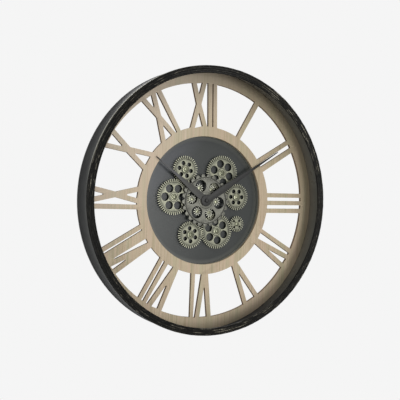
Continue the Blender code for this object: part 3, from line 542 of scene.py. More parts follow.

# %% [markdown]
# ## The lip
# The front lip is black and looks hand-worked: four uneven ridges run along it, and a dull
# gold underpaint shows where they have been rubbed. The ridges are modelled, because they
# break the lip's outline of light. After spinning, each point is pushed back a little by a
# slow noise along the circle, so that no ridge is even. Each point also keeps how high it
# stands on a ridge in an attribute named crest, and the finish rubs the gold through mostly
# there, in short dashes all round. Painted highlights in the same pale gold run along the
# crests in dotted lines at the upper right and, fainter, below. At the upper left a broken
# pale painted highlight lies along the outer edge.

# %% Black paint with rubbed gold
BELOW = (0.1, 0.0, -1.0)


def rubbed_black():
    finish = new_finish("rubbed_black", 0.4, gloss=0.08)
    crest = add(finish, "Attribute", {}, attribute_name="crest").outputs["Fac"]
    dashes = around(finish, 14.0, 500.0, 560.0)
    ragged = around(finish, 90.0, 300.0, 900.0)
    dots = around(finish, 110.0, 0.0, 150.0)
    breaks = around(finish, 7.0, 0.0, 170.0)
    patches = around(finish, 3.2, 5.0, 30.0)
    strokes = around(finish, 26.0, 1500.0, 1300.0)
    rubbed_and_highlit = times(finish, levels(finish, dashes, 0.57, 0.63), levels(finish, ragged, 0.42, 0.58),
                   levels(finish, patches, 0.46, 0.62, 0.1, 1.0),
                   levels(finish, crest, 0.1, 0.6, 0.15, 1.0))
    # Painted highlights: dotted lines along the ridge crests at the upper right and, fainter, below.
    highlit_upper_right = levels(finish, along_way(finish, UPPER_RIGHT), 0.252, 0.285)
    below = levels(finish, along_way(finish, BELOW), 0.235, 0.285, 0.0, 0.5)
    lines = times(finish, levels(finish, crest, 0.5, 0.85), levels(finish, dots, 0.46, 0.56, 0.25, 1.0),
                  levels(finish, breaks, 0.5, 0.58),
                  total(finish, levels(finish, highlit_upper_right, 0.0, 1.0, 0.05, 0.85), below))
    # Real rubbed dashes, thinner at the upper right, with the painted highlight lines added.
    rubbed_and_highlit = total(finish, times(finish, rubbed_and_highlit, levels(finish, highlit_upper_right, 0.0, 1.0, 0.45, 0.2)), lines)
    # Painted highlight: a broken pale line along the outer edge at the upper left.
    highlit_upper_left = levels(finish, along_way(finish, UPPER_LEFT), 0.255, 0.285)
    edge = times(finish, levels(finish, crest, 1.0, 1.04), highlit_upper_left,
                 levels(finish, ragged, 0.3, 0.5, 0.4, 0.9))
    base = graded(finish, strokes, (0.35, "060605"), (0.58, "0e0e0c"), (0.75, "26241f"))
    paint(finish, mixed(finish, edge, mixed(finish, rubbed_and_highlit, base, "a8a290"), "8f8d80"))
    roughen(finish, strokes, 0.24, 0.46)
    relief(finish, strokes, 0.35, 0.7)
    return finish


# %% Model the lip
LIP_STEPS = 480
LIP_EDGE, LIP_CORNER = 300.0, 299.0
RIDGES = ((298.0, 1.5, 0.75), (293.2, 1.3, 1.0), (288.4, 1.3, 1.0), (284.4, 1.2, 1.0))
RIDGE_RISE = 0.9
FACE_POINTS, FACE_STEP = 20, 0.8
# How often the noise turns round the circle, its change with the radius, its seed and its level.
SLOW, QUICK = (28.0, 0.21, 0.0, 0.6), (85.0, 0.6, 5.0, 0.5)
# How far both together push the face back and the edge inwards, in mm.
FACE_PUSH, EDGE_PUSH = (0.32, 0.2), (0.28, 0.16)
FACE_DEPTH, FACE_FADE = 2.4, 1.5
EDGE_CREST = 1.1


def ridge_height(radius):
    """How far a point of the lip's face stands on a ridge, given by middle, width and height."""
    return max(height * math.exp(-((radius - middle) / width) ** 2) for middle, width, height in RIDGES)


def lip_section():
    edge = [(299.2, -86.9), (LIP_EDGE, -87.5), (LIP_EDGE, -88.2)]
    face = [LIP_EDGE - FACE_STEP * (i + 0.5) for i in range(FACE_POINTS)]
    back = [(283.6, -88.6), (283.0, -87.9), (283.0, -85.2), (283.6, -84.6), (284.4, -84.8), (284.7, -86.2),
            (285.6, -86.9)]
    return edge + [(radius, LIP_FRONT + RIDGE_RISE * (1 - ridge_height(radius))) for radius in face] + back


def uneven(way, radius, pattern):
    often, shift, seed, level = pattern
    return noise.noise(way * often + Vector((0.0, radius * shift, seed))) + level


def pushed(noises, most):
    return max(0.0, most[0] * noises[0] + most[1] * noises[1])


def work_by_hand(bm):
    """Pushes the points back unevenly along the circle, never past the lip's own size."""
    crest = bm.verts.layers.float.new("crest")
    for vert in bm.verts:
        radius, depth = math.hypot(vert.co.x, vert.co.z) / MM, vert.co.y / MM
        way = Vector((vert.co.x, 0.0, vert.co.z)).normalized()
        noises = uneven(way, radius, SLOW), uneven(way, radius, QUICK)
        on_face = min(1.0, max(0.0, (LIP_FRONT + FACE_DEPTH - depth) / FACE_FADE))
        vert.co.y += on_face * MM * pushed(noises, FACE_PUSH)
        if radius > LIP_CORNER:
            vert.co -= way * MM * pushed(noises, EDGE_PUSH)
        vert[crest] = (ridge_height(radius) if radius < LIP_CORNER else EDGE_CREST) * on_face


def make_lip():
    bm = bmesh.new()
    turn(bm, lip_section(), LIP_STEPS, closed=True)
    work_by_hand(bm)
    settle(bm, "front_lip", "clock_body", [rubbed_black()], ("front_hoop",), sharp=60.0)


make_lip()

# %% [markdown]
# ## The dial
# The dial is fibreboard with a greyish oak veneer. A laser cuts the numerals as openings,
# which leaves brown edges and small round corners. The solid has the right outline, so a
# copy of it is used: the edges that stand upright in the openings get a rounding of 1.1 mm,
# then the outline gets a small chamfer. The circles of the solid have a corner each 5
# degrees, so first their edges are divided and the new points are moved out to the radius.
# The veneer's grain runs upwards in strips about 6 mm wide, some pinker, some greener, with
# fine pores. Noise whose scale is far smaller along Z than along X gives all three. Over the
# grain lies painted light towards the upper left and painted shade from the rim towards the
# upper right, darkest beside the rim on the right side.

# %% Oak veneer and its cut edge
RIM_SHADE_WAY = (0.7, 0.0, 0.7)


def oak_face():
    finish = new_finish("oak_face", 0.62, gloss=0.25)
    strips = grain(finish, spread(finish, 150.0, 150.0, 2.4), 3.0, 0.6)
    boards = grain(finish, spread(finish, 34.0, 34.0, 0.8))
    pores = grain(finish, spread(finish, 1500.0, 400.0, 24.0), 4.0, 0.65)
    hairs = grain(finish, spread(finish, 420.0, 420.0, 5.0), 2.0)
    colour = graded(finish, strips, (0.3, "978b72"), (0.43, "b3a98c"), (0.52, "bca991"), (0.6, "a49b7e"),
                    (0.74, "c4b5a0"))
    colour = layer(finish, colour, "c0a995", boards, 0.35, 0.65, 0.5)
    colour = layer(finish, colour, "a9a68a", boards, 0.5, 0.36, 0.25)
    colour = layer(finish, colour, "8d7c62", pores, 0.52, 0.75, 0.5)
    colour = layer(finish, colour, "8a7856", hairs, 0.58, 0.7, 0.5)
    # Painted shade: the rim's shadow darkens the board towards the upper right.
    colour = layer(finish, colour, "8f8468", along_way(finish, RIM_SHADE_WAY), -0.05, 0.28, 0.45)
    # Painted light: the board is paler towards the upper left.
    colour = layer(finish, colour, "cfc2b1", along_way(finish, UPPER_LEFT), 0.08, 0.25, 0.5)
    sideways = along_way(finish, RIGHT)
    # Painted shade: the outer ring on the right, beside the rim, darkens towards the wall.
    painted_rim_shade = times(finish, levels(finish, from_middle(finish), 0.258, 0.3, 0.0, 0.8),
                       levels(finish, sideways, -0.08, 0.08), levels(finish, sideways, 0.12, 0.3, 1.0, 0.3))
    paint(finish, mixed(finish, painted_rim_shade, colour, "5f594c"))
    roughen(finish, pores, 0.52, 0.68, low=0.4)
    relief(finish, pores, 0.15, 0.6)
    return finish


def cut_edge():
    """The laser's brown edge, painted paler round the disc as painted light against the shade there."""
    finish = new_finish("cut_edge", 0.8, gloss=0.15)
    fibres = grain(finish, spread(finish, 700.0, 2200.0, 700.0), 3.0)
    colour = graded(finish, fibres, (0.3, "57463a"), (0.5, "72604d"), (0.75, "8c775f"))
    # Painted light: the wall of the hole round the disc is paler, against the shade in the hole.
    paint(finish, layer(finish, colour, "b0a084", from_middle(finish), 0.149, 0.148, 0.6))
    relief(finish, fibres, 0.2, 0.6)
    return finish


# %% Model the dial
DIAL_CIRCLES = (147.0, 169.5, 268.5, 297.0)
CIRCLE_SLACK, LONGEST_CHORD = 0.03, 30.0
CORNER, CORNER_FOLD = 1.1, 25.0


def true_up(bm, radii, cuts):
    """Divides the edges that lie on a circle and moves the new points out to it."""
    def on_circle(vert):
        length = math.hypot(vert.co.x, vert.co.z) / MM
        return next((radius for radius in radii if abs(radius - length) < CIRCLE_SLACK), None)

    chosen = {edge: on_circle(edge.verts[0]) for edge in bm.edges
              if abs(edge.verts[0].co.y - edge.verts[1].co.y) < 1e-6
              and edge.calc_length() < LONGEST_CHORD * MM
              and on_circle(edge.verts[0]) and on_circle(edge.verts[0]) == on_circle(edge.verts[1])}
    for radius in radii:
        edges = [edge for edge, found in chosen.items() if found == radius]
        made = bmesh.ops.subdivide_edges(bm, edges=edges, cuts=cuts)
        for vert in made["geom_inner"]:
            if isinstance(vert, bmesh.types.BMVert):
                flat = Vector((vert.co.x, 0.0, vert.co.z))
                flat *= radius * MM / flat.length
                vert.co = Vector((flat.x, vert.co.y, flat.z))


def upright(edge):
    way = edge.verts[0].co - edge.verts[1].co
    return abs(way.y) > 0.99 * way.length


def make_dial():
    bm = copy_of("numeral_dial")
    true_up(bm, DIAL_CIRCLES, 2)
    soften(bm, [edge for edge in folds(bm, CORNER_FOLD) if upright(edge)], CORNER, 4)
    bm.normal_update()
    soften(bm, [edge for edge in folds(bm) if not upright(edge)], ROUNDING, 1)
    bm.normal_update()
    bmesh.ops.dissolve_degenerate(bm, dist=1e-8, edges=bm.edges)
    bm.normal_update()
    for face in bm.faces:
        face.material_index = 0 if face.normal.y < -0.9 else 1
    settle(bm, "oak_dial", "clock_body", [oak_face(), cut_edge()], ("numeral_dial",))


make_dial()

# %% [markdown]
# ## The disc
# A flat steel disc closes the dial's hole from behind and carries all the gears. Its solid
# is right as it is. The paint is a slate grey with a fine orange-peel skin, half matt, with
# a few specks of dust. A painted bluish sheen lies on it at the upper left, and its edge is
# painted paler against the shade under the dial. A ring in the same paint, painted far
# lighter against its shade and hidden but for its inner face, spaces the disc from the dial.

# %% Paint the disc
SPACER_INSIDE, SPACER_OUTSIDE = 147.3, 157.8
SPACER_FRONT, SPACER_BACK = -31.2, -24.4


def slate_paint(name, dark, light, edge):
    finish = new_finish(name, 0.33, gloss=0.45)
    clouds = even_grain(finish, 9.0, 3.0)
    skin = even_grain(finish, 900.0)
    specks = even_grain(finish, 330.0, 1.0)
    colour = graded(finish, clouds, (0.3, dark), (0.7, light))
    # Painted sheen: a bluer tone towards the upper left.
    colour = layer(finish, colour, "36393d", along_way(finish, UPPER_LEFT), 0.085, 0.125)
    # Painted light: a paler edge against the shade under the dial's overhang.
    colour = layer(finish, colour, edge, from_middle(finish), 0.136, 0.147)
    paint(finish, layer(finish, colour, "262625", specks, 0.74, 0.78, 0.6))
    roughen(finish, clouds, 0.3, 0.36)
    relief(finish, skin, 0.05, 0.5)
    return finish


dress(slate_paint("slate_paint", "1f2321", "252927", "52544f"), "centre_plate")


def make_spacer():
    bm = bmesh.new()
    section = ((SPACER_INSIDE, SPACER_FRONT), (SPACER_INSIDE, SPACER_BACK), (SPACER_OUTSIDE, SPACER_BACK),
               (SPACER_OUTSIDE, SPACER_FRONT))
    turn(bm, section, 216, closed=True)
    # Painted light: the ring is painted far lighter than the disc, against the shade it stands in.
    shade_lifted = slate_paint("shade_lifted_slate", "6a6c66", "757770", "70726b")
    settle(bm, "spacer_ring", "clock_body", [shade_lifted], ("plate_spacer",))


make_spacer()

# %% [markdown]
# ## Metals
# The gears are die castings plated in an aged champagne colour, the wheel in front of them
# is darker, like pewter, and the pinions, which rub most, are brighter. All have the soft
# grain of a casting and uneven patina. Studs and domes are polished, the sheet parts at the
# back have a drawn zinc grain, and bushes are brass. Two recipes make them all: patina in
# clouds, grain as bump and in the roughness, and for castings painted shade on the walls
# and a darker tone in the grooves.

# %% Mix the metals
def metal(name, dark, light, roughness, grit, depth):
    """Patina from dark to light in clouds, with a grain of the given fineness and depth in mm."""
    finish = new_finish(name, roughness, 1.0)
    clouds = even_grain(finish, 70.0, 4.0, 0.6)
    drawn = even_grain(finish, grit, 3.0)
    colour = graded(finish, clouds, (0.32, dark), (0.62, light))
    paint(finish, layer(finish, colour, dark, drawn, 0.58, 0.75, 0.45))
    roughen(finish, drawn, roughness - 0.06, roughness + 0.1)
    relief(finish, drawn, depth, 0.6)
    return finish


def cast_metal(name, deep, dark, light, high, roughness):
    """A casting: painted shade on the walls, patina on the faces, bare metal where it is rubbed."""
    finish = new_finish(name, roughness, 0.75)
    clouds = even_grain(finish, 90.0, 4.0, 0.6)
    grit = even_grain(finish, 650.0, 3.0)
    turned_to = add(finish, "TexCoord", {}).outputs["Normal"]
    depth_way = add(finish, "SeparateXYZ", {0: turned_to}).outputs[1]
    facing = levels(finish, depth_way, -0.3, -0.9)
    wear = add(finish, "Attribute", {}, attribute_name="wear").outputs["Fac"]
    bare = times(finish, levels(finish, wear, 0.0, 1.0), levels(finish, grit, 0.3, 0.6, 0.5, 1.0))
    face = graded(finish, clouds, (0.32, dark), (0.62, light))
    # Points with negative wear take the dark colour: grooves and tooth roots are darker.
    face = layer(finish, mixed(finish, bare, face, high), deep, wear, 0.0, -1.0)
    # Painted shade: faces that don't look to the front, the walls of teeth and holes, take the dark colour.
    paint(finish, mixed(finish, facing, deep, face))
    roughen(finish, grit, roughness - 0.06, roughness + 0.1)
    relief(finish, grit, 0.05, 0.6)
    return finish


champagne = cast_metal("champagne", "1c1c17", "4c4d44", "646558", "ceceb4", 0.4)
pewter = cast_metal("pewter", "262623", "4e4e47", "64645c", "8a8a81", 0.42)
bright_champagne = cast_metal("bright_champagne", "22221d", "6c6d63", "8e8f82", "dadacb", 0.4)
polished = metal("polished_steel", "585a4c", "7f806d", 0.24, 900.0, 0.01)
zinc = metal("zinc_sheet", "94969a", "b4b6b8", 0.36, 300.0, 0.02)
brass = metal("turned_brass", "9a7838", "c09c58", 0.28, 700.0, 0.02)
print("metals mixed")

# %% [markdown]
# ## The gears
# A cast gear has a toothed rim, a thinner web with round holes, and a hub. Seen closely,
# each tooth tapers and has a small chamfer that catches the light. So a gear is built from
# rings: three toothed ones for its edge, plain ones that step down to the web and up to the
# hub, and three for each hole. Bridges and fills close them into one body. The number of
# teeth, their phase and the places of the holes are those of the solids, so that the gears
# stay in mesh when they turn. The teeth are thinner and cut deeper, as on the real gears. No
# two rings that are bridged lie at quite the same depth: a bridge between coplanar rings
# can't tell which way round they go, and twists.

# %% Teeth and the train's numbers
MODULE = 1.633
GEAR_FRONT, GEAR_BACK = -31.5, -28.5
PINION_FRONT = -30.5
WEB_SINK = 0.7
TRAIN_TURN = 55.9
SUN_TEETH = 28
TOOTH_RISE, TOOTH_DROP, PINION_DROP = 1.05, 2.4, 1.35
ROOT_SHARE, MIDDLE_SHARE, TIP_SHARE = 0.29, 0.2, 0.1
CHAMFER, SLOPE = 0.15, 0.03
GEAR_BORE, PINION_BORE = 2.8, 2.0
RIM_POINTS, HUB_POINTS = 72, 32
Kind = namedtuple("Kind", "teeth rim hub holes hole_ring hole sides")
PINION = Kind(10, None, None, 0, 0.0, 0.0, 0)
LARGE = Kind(48, 34.2, 9.6, 6, 21.6, 9.4, 40)
MEDIUM = Kind(36, 24.8, 8.2, 6, 15.0, 4.9, 28)
SMALL = Kind(21, None, None, 4, 9.9, 2.8, 20)


def tooth_corners(teeth, inset=0.0):
    """Corners of one tooth; an inset gives the slightly smaller outline of the front face."""
    drop = PINION_DROP if teeth == PINION.teeth else TOOTH_DROP
    tip, root = (teeth / 2 + TOOTH_RISE) * MODULE, (teeth / 2 - drop) * MODULE
    narrow = inset / (math.pi * MODULE)
    half = [(root - inset, ROOT_SHARE - narrow), ((tip + root) / 2, MIDDLE_SHARE - narrow),
            (tip - inset, TIP_SHARE - narrow / 2)]
    return [(radius, -share) for radius, share in half] + half[::-1]


def next_phase(direction, teeth, phase, next_teeth):
    """Turns a gear so that a gap of it takes the tooth of the gear that drives it."""
    offset = (direction - phase) * teeth / 360
    return direction + 180 - (0.5 - offset) * 360 / next_teeth


def centre_of(body):
    place = pivots[body]
    return place[0] / MM, place[2] / MM


def direction_of(body, other):
    start, end = centre_of(body), centre_of(other)
    return math.degrees(math.atan2(end[1] - start[1], end[0] - start[0]))


# %% Build a wheel from rings
def wheel(bm, centre, outlines, rim_steps, hub_steps, holes, web, back):
    """Outlines run from back to front; steps are radius, depth and wear; holes are places, radius, sides."""
    rims = [ring(bm, radius, depth, RIM_POINTS, centre, wear) for radius, depth, wear in rim_steps]
    hubs = [ring(bm, radius, depth, HUB_POINTS, centre, wear) for radius, depth, wear in hub_steps]
    places, radius, sides = holes
    steps = ((radius + CHAMFER, web, 0.3), (radius, web + CHAMFER, 0.0), (radius, back, 0.0))
    bored = [[ring(bm, size, depth, sides, place, wear) for size, depth, wear in steps] for place in places]
    bridge(bm, *outlines)
    outer = outlines[-1]
    if rims:
        fill(bm, outer, rims[0])
        bridge(bm, *rims)
        outer = rims[-1]
    fill(bm, outer, hubs[0], *[hole[0] for hole in bored])
    bridge(bm, *hubs)
    for hole in bored:
        bridge(bm, *hole)
    fill(bm, outlines[0], hubs[-1], *[hole[-1] for hole in bored])
    to_metres(bm)


def on_ring(count, radius, turned, centre=(0.0, 0.0)):
    """Places evenly round a circle, the first one turned so many degrees from the right."""
    angles = [math.radians(turned + 360 * i / count) for i in range(count)]
    return [(centre[0] + radius * math.cos(angle), centre[1] + radius * math.sin(angle)) for angle in angles]


def make_gear(node, body, kind, phase, turned=0.0):
    """The web starts inside the rim, and the hub is the boss round the bore."""
    teeth, rim, hub = kind.teeth, kind.rim, kind.hub
    finish, front, bore = champagne, GEAR_FRONT, GEAR_BORE
    if kind == PINION:
        finish, front, bore = bright_champagne, PINION_FRONT, PINION_BORE
    bm = bmesh.new()
    centre = centre_of(body)
    holes = on_ring(kind.holes, kind.hole_ring, turned, centre), kind.hole, kind.sides
    full, small = tooth_corners(teeth), tooth_corners(teeth, CHAMFER)
    outlines = [toothed(bm, teeth, full, phase, GEAR_BACK, centre),
                toothed(bm, teeth, full, phase, front + CHAMFER, centre, -0.6, 0.9),
                toothed(bm, teeth, small, phase, front, centre, 0.1, 0.9)]
    web = front + WEB_SINK
    rim_steps, hub_steps = [], []
    if rim:
        rim_steps = [(rim, front, 0.35), (rim - 0.25, front + 0.15, 0.0), (rim - 0.6, web - SLOPE, -1.0),
                     (rim - 1.7, web, 0.0)]
        hub_steps = [(hub + 1.3, web, 0.0), (hub + 0.5, web - SLOPE, -0.8), (hub + 0.15, front + 0.15, 0.0),
                     (hub - 0.1, front, 0.4)]
    hub_steps += [(bore + 0.2, front + SLOPE, 0.0), (bore, front + 0.2, 0.0), (bore, GEAR_BACK, 0.0)]
    wheel(bm, centre, outlines, rim_steps, hub_steps, holes, web if rim else front, GEAR_BACK)
    settle(bm, node, body, [finish], (node.removesuffix("_cast"),), sharp=30.0)


# %% Build the train
LARGE_TURNS, MEDIUM_TURNS, SMALL_TURN = (41.5, 0.0, 40.0), (0.0, 49.0, 36.0), 50.0


def make_train():
    for i in range(6):
        direction = TRAIN_TURN + 60 * i
        phase = next_phase(direction, SUN_TEETH, TRAIN_TURN, PINION.teeth)
        make_gear(f"pinion_{i + 1}_cast", f"pinion_wheel_{i + 1}", PINION, phase)
        if i % 2:
            continue
        k = i // 2
        large, medium = f"large_wheel_{k + 1}", f"medium_wheel_{k + 1}"
        large_phase = next_phase(direction, PINION.teeth, phase, LARGE.teeth)
        make_gear(f"large_gear_{k + 1}_cast", large, LARGE, large_phase, LARGE_TURNS[k])
        medium_phase = next_phase(direction_of(large, medium), LARGE.teeth, large_phase, MEDIUM.teeth)
        make_gear(f"medium_gear_{k + 1}_cast", medium, MEDIUM, medium_phase, MEDIUM_TURNS[k])
    small_phase = next_phase(direction_of(large, "small_wheel"), LARGE.teeth, large_phase, SMALL.teeth)
    make_gear("small_gear_cast", "small_wheel", SMALL, small_phase, SMALL_TURN)


make_train()

# %% [markdown]
# ## The wheel in front
# A heavier wheel with 25 round teeth covers the middle of the train, with six windows that
# show the pinions behind. It has a raised bead near its teeth and a boss round its bore. The
# same rings build it; only the tooth is a rounded one, drawn from a power curve.

# %% Build the face wheel
FACE_TEETH = 25
FACE_ROOT, FACE_HEIGHT = 54.5, 6.0
FACE_PHASE = 83.8
FACE_FRONT, FACE_BACK = -37.5, -35.0
WINDOW_RING, WINDOW_TURN, WINDOW = 35.1, 52.0, 13.9
TOOTH_POINTS, HALF_SHARE, FULLNESS = 13, 0.37, 2.6


def round_tooth(inset):
    corners = []
    for i in range(TOOTH_POINTS):
        share = -0.5 + (i + 0.5) / TOOTH_POINTS
        rise = max(0.0, 1 - abs(share / HALF_SHARE) ** FULLNESS) ** 0.5
        corners.append((FACE_ROOT + FACE_HEIGHT * rise - inset, share * (1 - inset / 12)))
    return corners


def make_face_wheel():
    bm = bmesh.new()
    edges = ((0.0, FACE_BACK, 0.0), (0.0, FACE_FRONT + 0.4, 0.0), (0.15, FACE_FRONT + 0.15, 0.6),
             (0.45, FACE_FRONT, 0.2))
    outlines = [toothed(bm, FACE_TEETH, round_tooth(inset), FACE_PHASE, depth, (0.0, 0.0), 0.0, wear)
                for inset, depth, wear in edges]
    bead = [(53.6, 0.0, 0.2), (53.3, 0.7, -0.5), (53.0, 0.9, -0.6), (51.9, 0.93, -0.6), (51.5, 0.6, -0.5),
            (51.2, -0.1, 0.5), (50.7, -0.35, 1.0), (50.1, -0.1, 0.5), (49.8, 0.25, -0.3), (49.5, 0.3, 0.0)]
    rim_steps = [(radius, FACE_FRONT + step, wear) for radius, step, wear in bead]
    boss = [(20.0, 0.3, 0.0), (18.6, 0.26, -0.4), (18.0, 0.0, 0.0), (17.4, -0.4, 0.2), (16.4, -0.55, 0.2),
            (15.0, -0.52, 0.0), (7.5, -0.48, 0.0), (7.1, -0.2, 0.0), (7.1, FACE_BACK - FACE_FRONT, 0.0)]
    hub_steps = [(radius, FACE_FRONT + step, wear) for radius, step, wear in boss]
    holes = on_ring(6, WINDOW_RING, WINDOW_TURN), WINDOW, 48
    wheel(bm, (0.0, 0.0), outlines, rim_steps, hub_steps, holes, FACE_FRONT + 0.3, FACE_BACK)
    settle(bm, "face_wheel_cast", "centre_drive", [pewter], ("face_wheel",), sharp=30.0)


make_face_wheel()
dress(champagne, "sun_gear")
dress(polished, "drive_sleeve")
dress(brass, "bearing_bush", "hour_pipe", "motor_pinion")

# %% [markdown]
# ## Posts and studs
# Each gear turns on a shouldered post, held by a washer and a polished dome; the smaller
# pinions sit on slotted studs. They are turned sections with enough steps to look round.
# A slotted head needs no cutting: the outline of the recess is one more closed ring in the
# head's face, and a bridge takes it down to the recess's floor.

# %% Turn the posts
DISC_SEAT, SHOULDER = -24.3, -28.2
PLAY = 0.3
POSTED = [f"{size}_wheel_{i}" for size in ("large", "medium") for i in (1, 2, 3)] + ["small_wheel"]
SLOT_TURNS = (24.0, 71.0, 118.0, 40.0, 5.0, 88.0)
SAW_SLOT = (2, ((3.2, -0.055), (3.2, 0.055)))


def slotted(bm, centre, steps, slot, turned, sink):
    """A stud or screw from rings; slot is the outline of its recess, as the corners of teeth."""
    teeth, corners = slot
    top = steps[-1][1]
    rings = [ring(bm, radius, depth, HUB_POINTS, centre) for radius, depth in steps]
    recess = [toothed(bm, teeth, corners, turned, depth, centre) for depth in (top, top + sink)]
    fill(bm, rings[0])
    bridge(bm, *rings)
    close_inwards(bm, rings[-1], recess)


def make_posts():
    """A seat on the disc, a shaft, and in front of the gear a washer and a dome."""
    bm = bmesh.new()
    for body in POSTED:
        wide = 5.4 if body == "small_wheel" else 7.5
        head = ((2.5, 0.0), (wide - 0.3, 0.0), (wide, 0.2), (wide, 0.8), (wide - 0.3, 1.0), (4.5, 1.0),
                (4.45, 1.4), (4.0, 2.1), (3.1, 2.55), (1.6, 2.75), (0.0, 2.8))
        section = [(0.0, DISC_SEAT), (5.5, DISC_SEAT), (5.5, SHOULDER), (2.5, SHOULDER)]
        section += [(radius, GEAR_FRONT - PLAY - rise) for radius, rise in head]
        turn(bm, section, HUB_POINTS, centre_of(body))
    settle(bm, "gear_posts", "clock_body", [polished],
           [f"gear_post_{i}" for i in range(1, 8)])


def make_studs():
    bm = bmesh.new()
    washer = PINION_FRONT - PLAY
    head = ((1.7, 0.0), (4.1, SLOPE), (4.3, 0.2), (4.3, 0.5), (4.1, 0.7), (3.8, 0.75), (3.8, 1.05),
            (3.65, 1.28), (3.35, 1.4))
    steps = [(4.0, DISC_SEAT), (4.0, SHOULDER), (1.7, SHOULDER - SLOPE)]
    steps += [(radius, washer - rise) for radius, rise in head]
    for i, turned in enumerate(SLOT_TURNS):
        slotted(bm, centre_of(f"pinion_wheel_{i + 1}"), steps, SAW_SLOT, turned, 0.6)
    to_metres(bm)
    settle(bm, "pinion_studs", "clock_body", [polished],
           [f"pinion_stud_{i}" for i in range(1, 7)])


make_posts()
make_studs()

# %% [markdown]
# ## The hands
# Two long lances in charcoal paint, cut from sheet. Their outline is the solid's own; a
# 0.3 mm rounding all round gives the fine bright line that painted sheet shows. The hour
# hand is painted a mid grey, lighter in its outer half, and the minute hand nearly black.
# Both have black points. Levels on the distance from the dial's axis do that. The nut
# that holds them is a turned dome.

# %% Paint and model the hands
def charcoal_paint(name, dark, light, outer):
    finish = new_finish(name, 0.5, gloss=0.3)
    powder = even_grain(finish, 1100.0, 3.0)
    tone = even_grain(finish, 40.0)
    colour = graded(finish, tone, (0.3, dark), (0.7, light))
    colour = layer(finish, colour, "4b4b46", powder, 0.5, 0.8, 0.4)
    colour = layer(finish, colour, outer, from_middle(finish), 0.065, 0.095)
    paint(finish, layer(finish, colour, "14110e", from_middle(finish), 0.14, 0.15))
    roughen(finish, powder, 0.4, 0.55)
    relief(finish, powder, 0.05, 0.5)
    return finish


charcoal = charcoal_paint("charcoal_paint", "373735", "3f3f3b", "4a4a4b")
dark_charcoal = charcoal_paint("dark_charcoal", "1f1f1e", "262624", "222222")


def make_hand(node, body, finish):
    bm = copy_of(node)
    soften(bm, [edge for edge in folds(bm) if not upright(edge)], ROUNDING, 2)
    settle(bm, node + "_blade", body, [finish], (node,))


make_hand("hour_hand", "hour", charcoal)
make_hand("minute_hand", "minute", dark_charcoal)
nut = bmesh.new()
NUT_SECTION = ((0.0, -43.3), (4.3, -43.3), (4.5, -43.5), (4.5, -44.3), (4.2, -45.0), (3.4, -45.6),
               (1.8, -45.85), (0.0, -45.9))
turn(nut, NUT_SECTION, 40)
settle(nut, "hand_nut_dome", "minute", [dark_charcoal], ("hand_nut",))
dress(polished, "minute_arbor")

# %% [markdown]
# ## The back
# Nobody sees the back in the picture, but the clock is turned round in a shop. A moulded
# black housing with a round cover holds the movement, the motor and two cells. Moulded
# plastic has a fine spark-eroded texture and slightly rounded edges. The door gets grooves
# for a thumb, the knob a knurl, and pan-head screws hold the dial and the disc. The steps of
# a moulding's rounded edges stay sharp: shaded smooth, they would bend the light on its face.

# %% Plastics and the cells' sleeve
def moulded(name, dark, light, roughness):
    finish = new_finish(name, roughness)
    texture = even_grain(finish, 1300.0)
    flow = even_grain(finish, 25.0)
    paint(finish, graded(finish, flow, (0.3, dark), (0.7, light)))
    roughen(finish, texture, roughness - 0.08, roughness + 0.1)
    relief(finish, texture, 0.12, 0.7)
    return finish


def cell_sleeve():
    """A plain two-tone sleeve: the collar stands at the end with the nub."""
    finish = new_finish("cell_sleeve", 0.3, 0.2, coat=0.3)
    scuffs = grain(finish, spread(finish, 200.0, 900.0, 900.0), 3.0)
    colour = layer(finish, "3f5f49", "b59a5c", along_way(finish, RIGHT), 0.0125, 0.0128)
    paint(finish, layer(finish, colour, "2b352e", scuffs, 0.6, 0.8, 0.4))
    roughen(finish, scuffs, 0.24, 0.42)
    return finish


black_plastic = moulded("black_plastic", "1a1a1b", "222223", 0.5)
white_plastic = moulded("white_plastic", "cfcdc4", "dcdad2", 0.42)
dress(black_plastic, "quartz_movement", "battery_tray")
dress(white_plastic, "drive_gear", "gear_switch")
dress(zinc, "movement_bridge", "gear_motor", "hanger_plate")
dress(cell_sleeve(), "clock_battery", "gear_battery")
print("back dressed")


# %% Housing, cover and door
def engrave(bm, low, high, level, depth):
    """Sinks a rectangle of a flat face; low and high are its corners across and up, in mm."""
    for axis, values in ((0, (low[0], high[0])), (2, (low[1], high[1]))):
        for value in values:
            plane, normal = Vector(), Vector()
            plane[axis], normal[axis] = value * MM, 1.0
            bmesh.ops.bisect_plane(bm, geom=bm.verts[:] + bm.edges[:] + bm.faces[:], plane_co=plane,
                                   plane_no=normal, dist=1e-7)

    def within(face):
        middle = face.calc_center_median() / MM
        at_level = abs(middle.y - level) < 0.01
        return at_level and low[0] < middle.x < high[0] and low[1] < middle.z < high[1]

    chosen = [face for face in bm.faces if within(face)]
    pushed = bmesh.ops.extrude_face_region(bm, geom=chosen)
    moved = [item for item in pushed["geom"] if isinstance(item, bmesh.types.BMVert)]
    bmesh.ops.translate(bm, verts=moved, vec=(0.0, depth * MM, 0.0))
    bmesh.ops.delete(bm, geom=chosen, context="FACES")


GROOVES, GROOVE_START, GROOVE_STEP = 5, 4.5, 2.2
GROOVE_REACH, GROOVE_WIDTH, GROOVE_DEPTH = 9.0, 1.1, 0.5


def make_moulding(node, body, grooves=0):
    low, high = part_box(node)
    middle = (low.x + high.x) / 2 / MM
    bm = copy_of(node)
    soften(bm, folds(bm), ROUNDING, 2)
    for i in range(grooves):
        rise = low.z / MM + GROOVE_START + GROOVE_STEP * i
        engrave(bm, (middle - GROOVE_REACH, rise), (middle + GROOVE_REACH, rise + GROOVE_WIDTH), 0.0,
                -GROOVE_DEPTH)
    settle(bm, node + "_moulded", body, [black_plastic], (node,), sharp=20.0)


make_moulding("drive_housing", "clock_body")
make_moulding("back_cover", "clock_body")
make_moulding("battery_door", "lid", GROOVES)


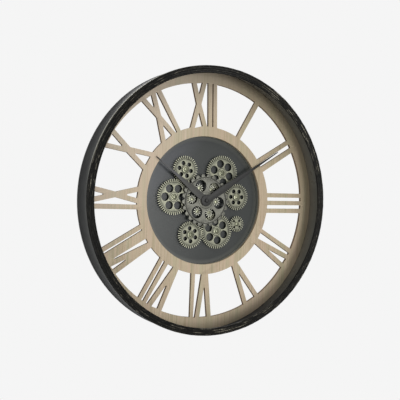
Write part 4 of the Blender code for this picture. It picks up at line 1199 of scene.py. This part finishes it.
# %% Knob and screws
KNURLS = 28
CROSS = (4, ((0.75, -0.25), (1.9, -0.055), (1.9, 0.055), (0.75, 0.25)))
CROSS_TURN, CROSS_DEPTH = 31.0, 0.6
COVER_SCREW = ((1.4, -10.5), (1.4, -1.5), (3.0, -0.35), (2.9, -0.3))
PAN_HEAD = ((2.9, -0.4), (3.1, 0.4), (2.8, 1.0), (2.3, 1.25), (2.1, 1.3))
DIAL_SCREW_SEAT, DISC_SCREW_SEAT = -29.0, -22.5


def make_knob():
    bm = bmesh.new()
    centre = centre_of("setting")
    corners = ((6.55, -0.25), (7.0, -0.12), (7.0, 0.12), (6.55, 0.25))
    inset = tuple((radius - 0.3, share) for radius, share in corners)
    loops = [toothed(bm, KNURLS, use, 0.0, depth, centre)
             for use, depth in ((inset, -1.9), (corners, -1.65), (corners, -0.55), (inset, -0.3))]
    bridge(bm, *loops)
    dish = [ring(bm, radius, depth, 40, centre)
            for radius, depth in ((5.6, -0.3), (5.2, -0.6), (1.2, -0.64))]
    close_inwards(bm, loops[-1], dish)
    stem = [ring(bm, 1.5, depth, 24, centre) for depth in (-1.9, -4.9)]
    close_inwards(bm, loops[0], stem)
    to_metres(bm)
    settle(bm, "set_knob_knurled", "setting", [white_plastic], ("set_knob",))


def make_screws(name, places, head, seat, replaced=()):
    """Cross-slotted screws whose heads look to the back of the clock."""
    bm = bmesh.new()
    steps = [(radius, seat + rise) for radius, rise in head]
    for i, centre in enumerate(places):
        slotted(bm, centre, steps, CROSS, CROSS_TURN * i, -CROSS_DEPTH)
    to_metres(bm)
    settle(bm, name, "clock_body", [zinc], replaced)


make_knob()
make_screws("cover_screws", on_ring(4, 114.5, 45.0), COVER_SCREW, 0.0,
            [f"cover_screw_{i}" for i in range(1, 5)])
make_screws("dial_screws", on_ring(12, 291.5, 15.0), PAN_HEAD, DIAL_SCREW_SEAT)
make_screws("disc_screws", on_ring(8, 154.5, 22.5), PAN_HEAD, DISC_SCREW_SEAT)

# %% [markdown]
# ## Measure and finish
# The boxes of the dressed clock and of its solids are kept side by side: the last lines
# print how far the dressed clock has grown past its solids on each side.

# %% Measure and finish
low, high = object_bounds()
grown = [[round(v / MM, 2) for v in side] for side in (cad_low - low, high - cad_high)]
print("grown by, in mm:", *grown)
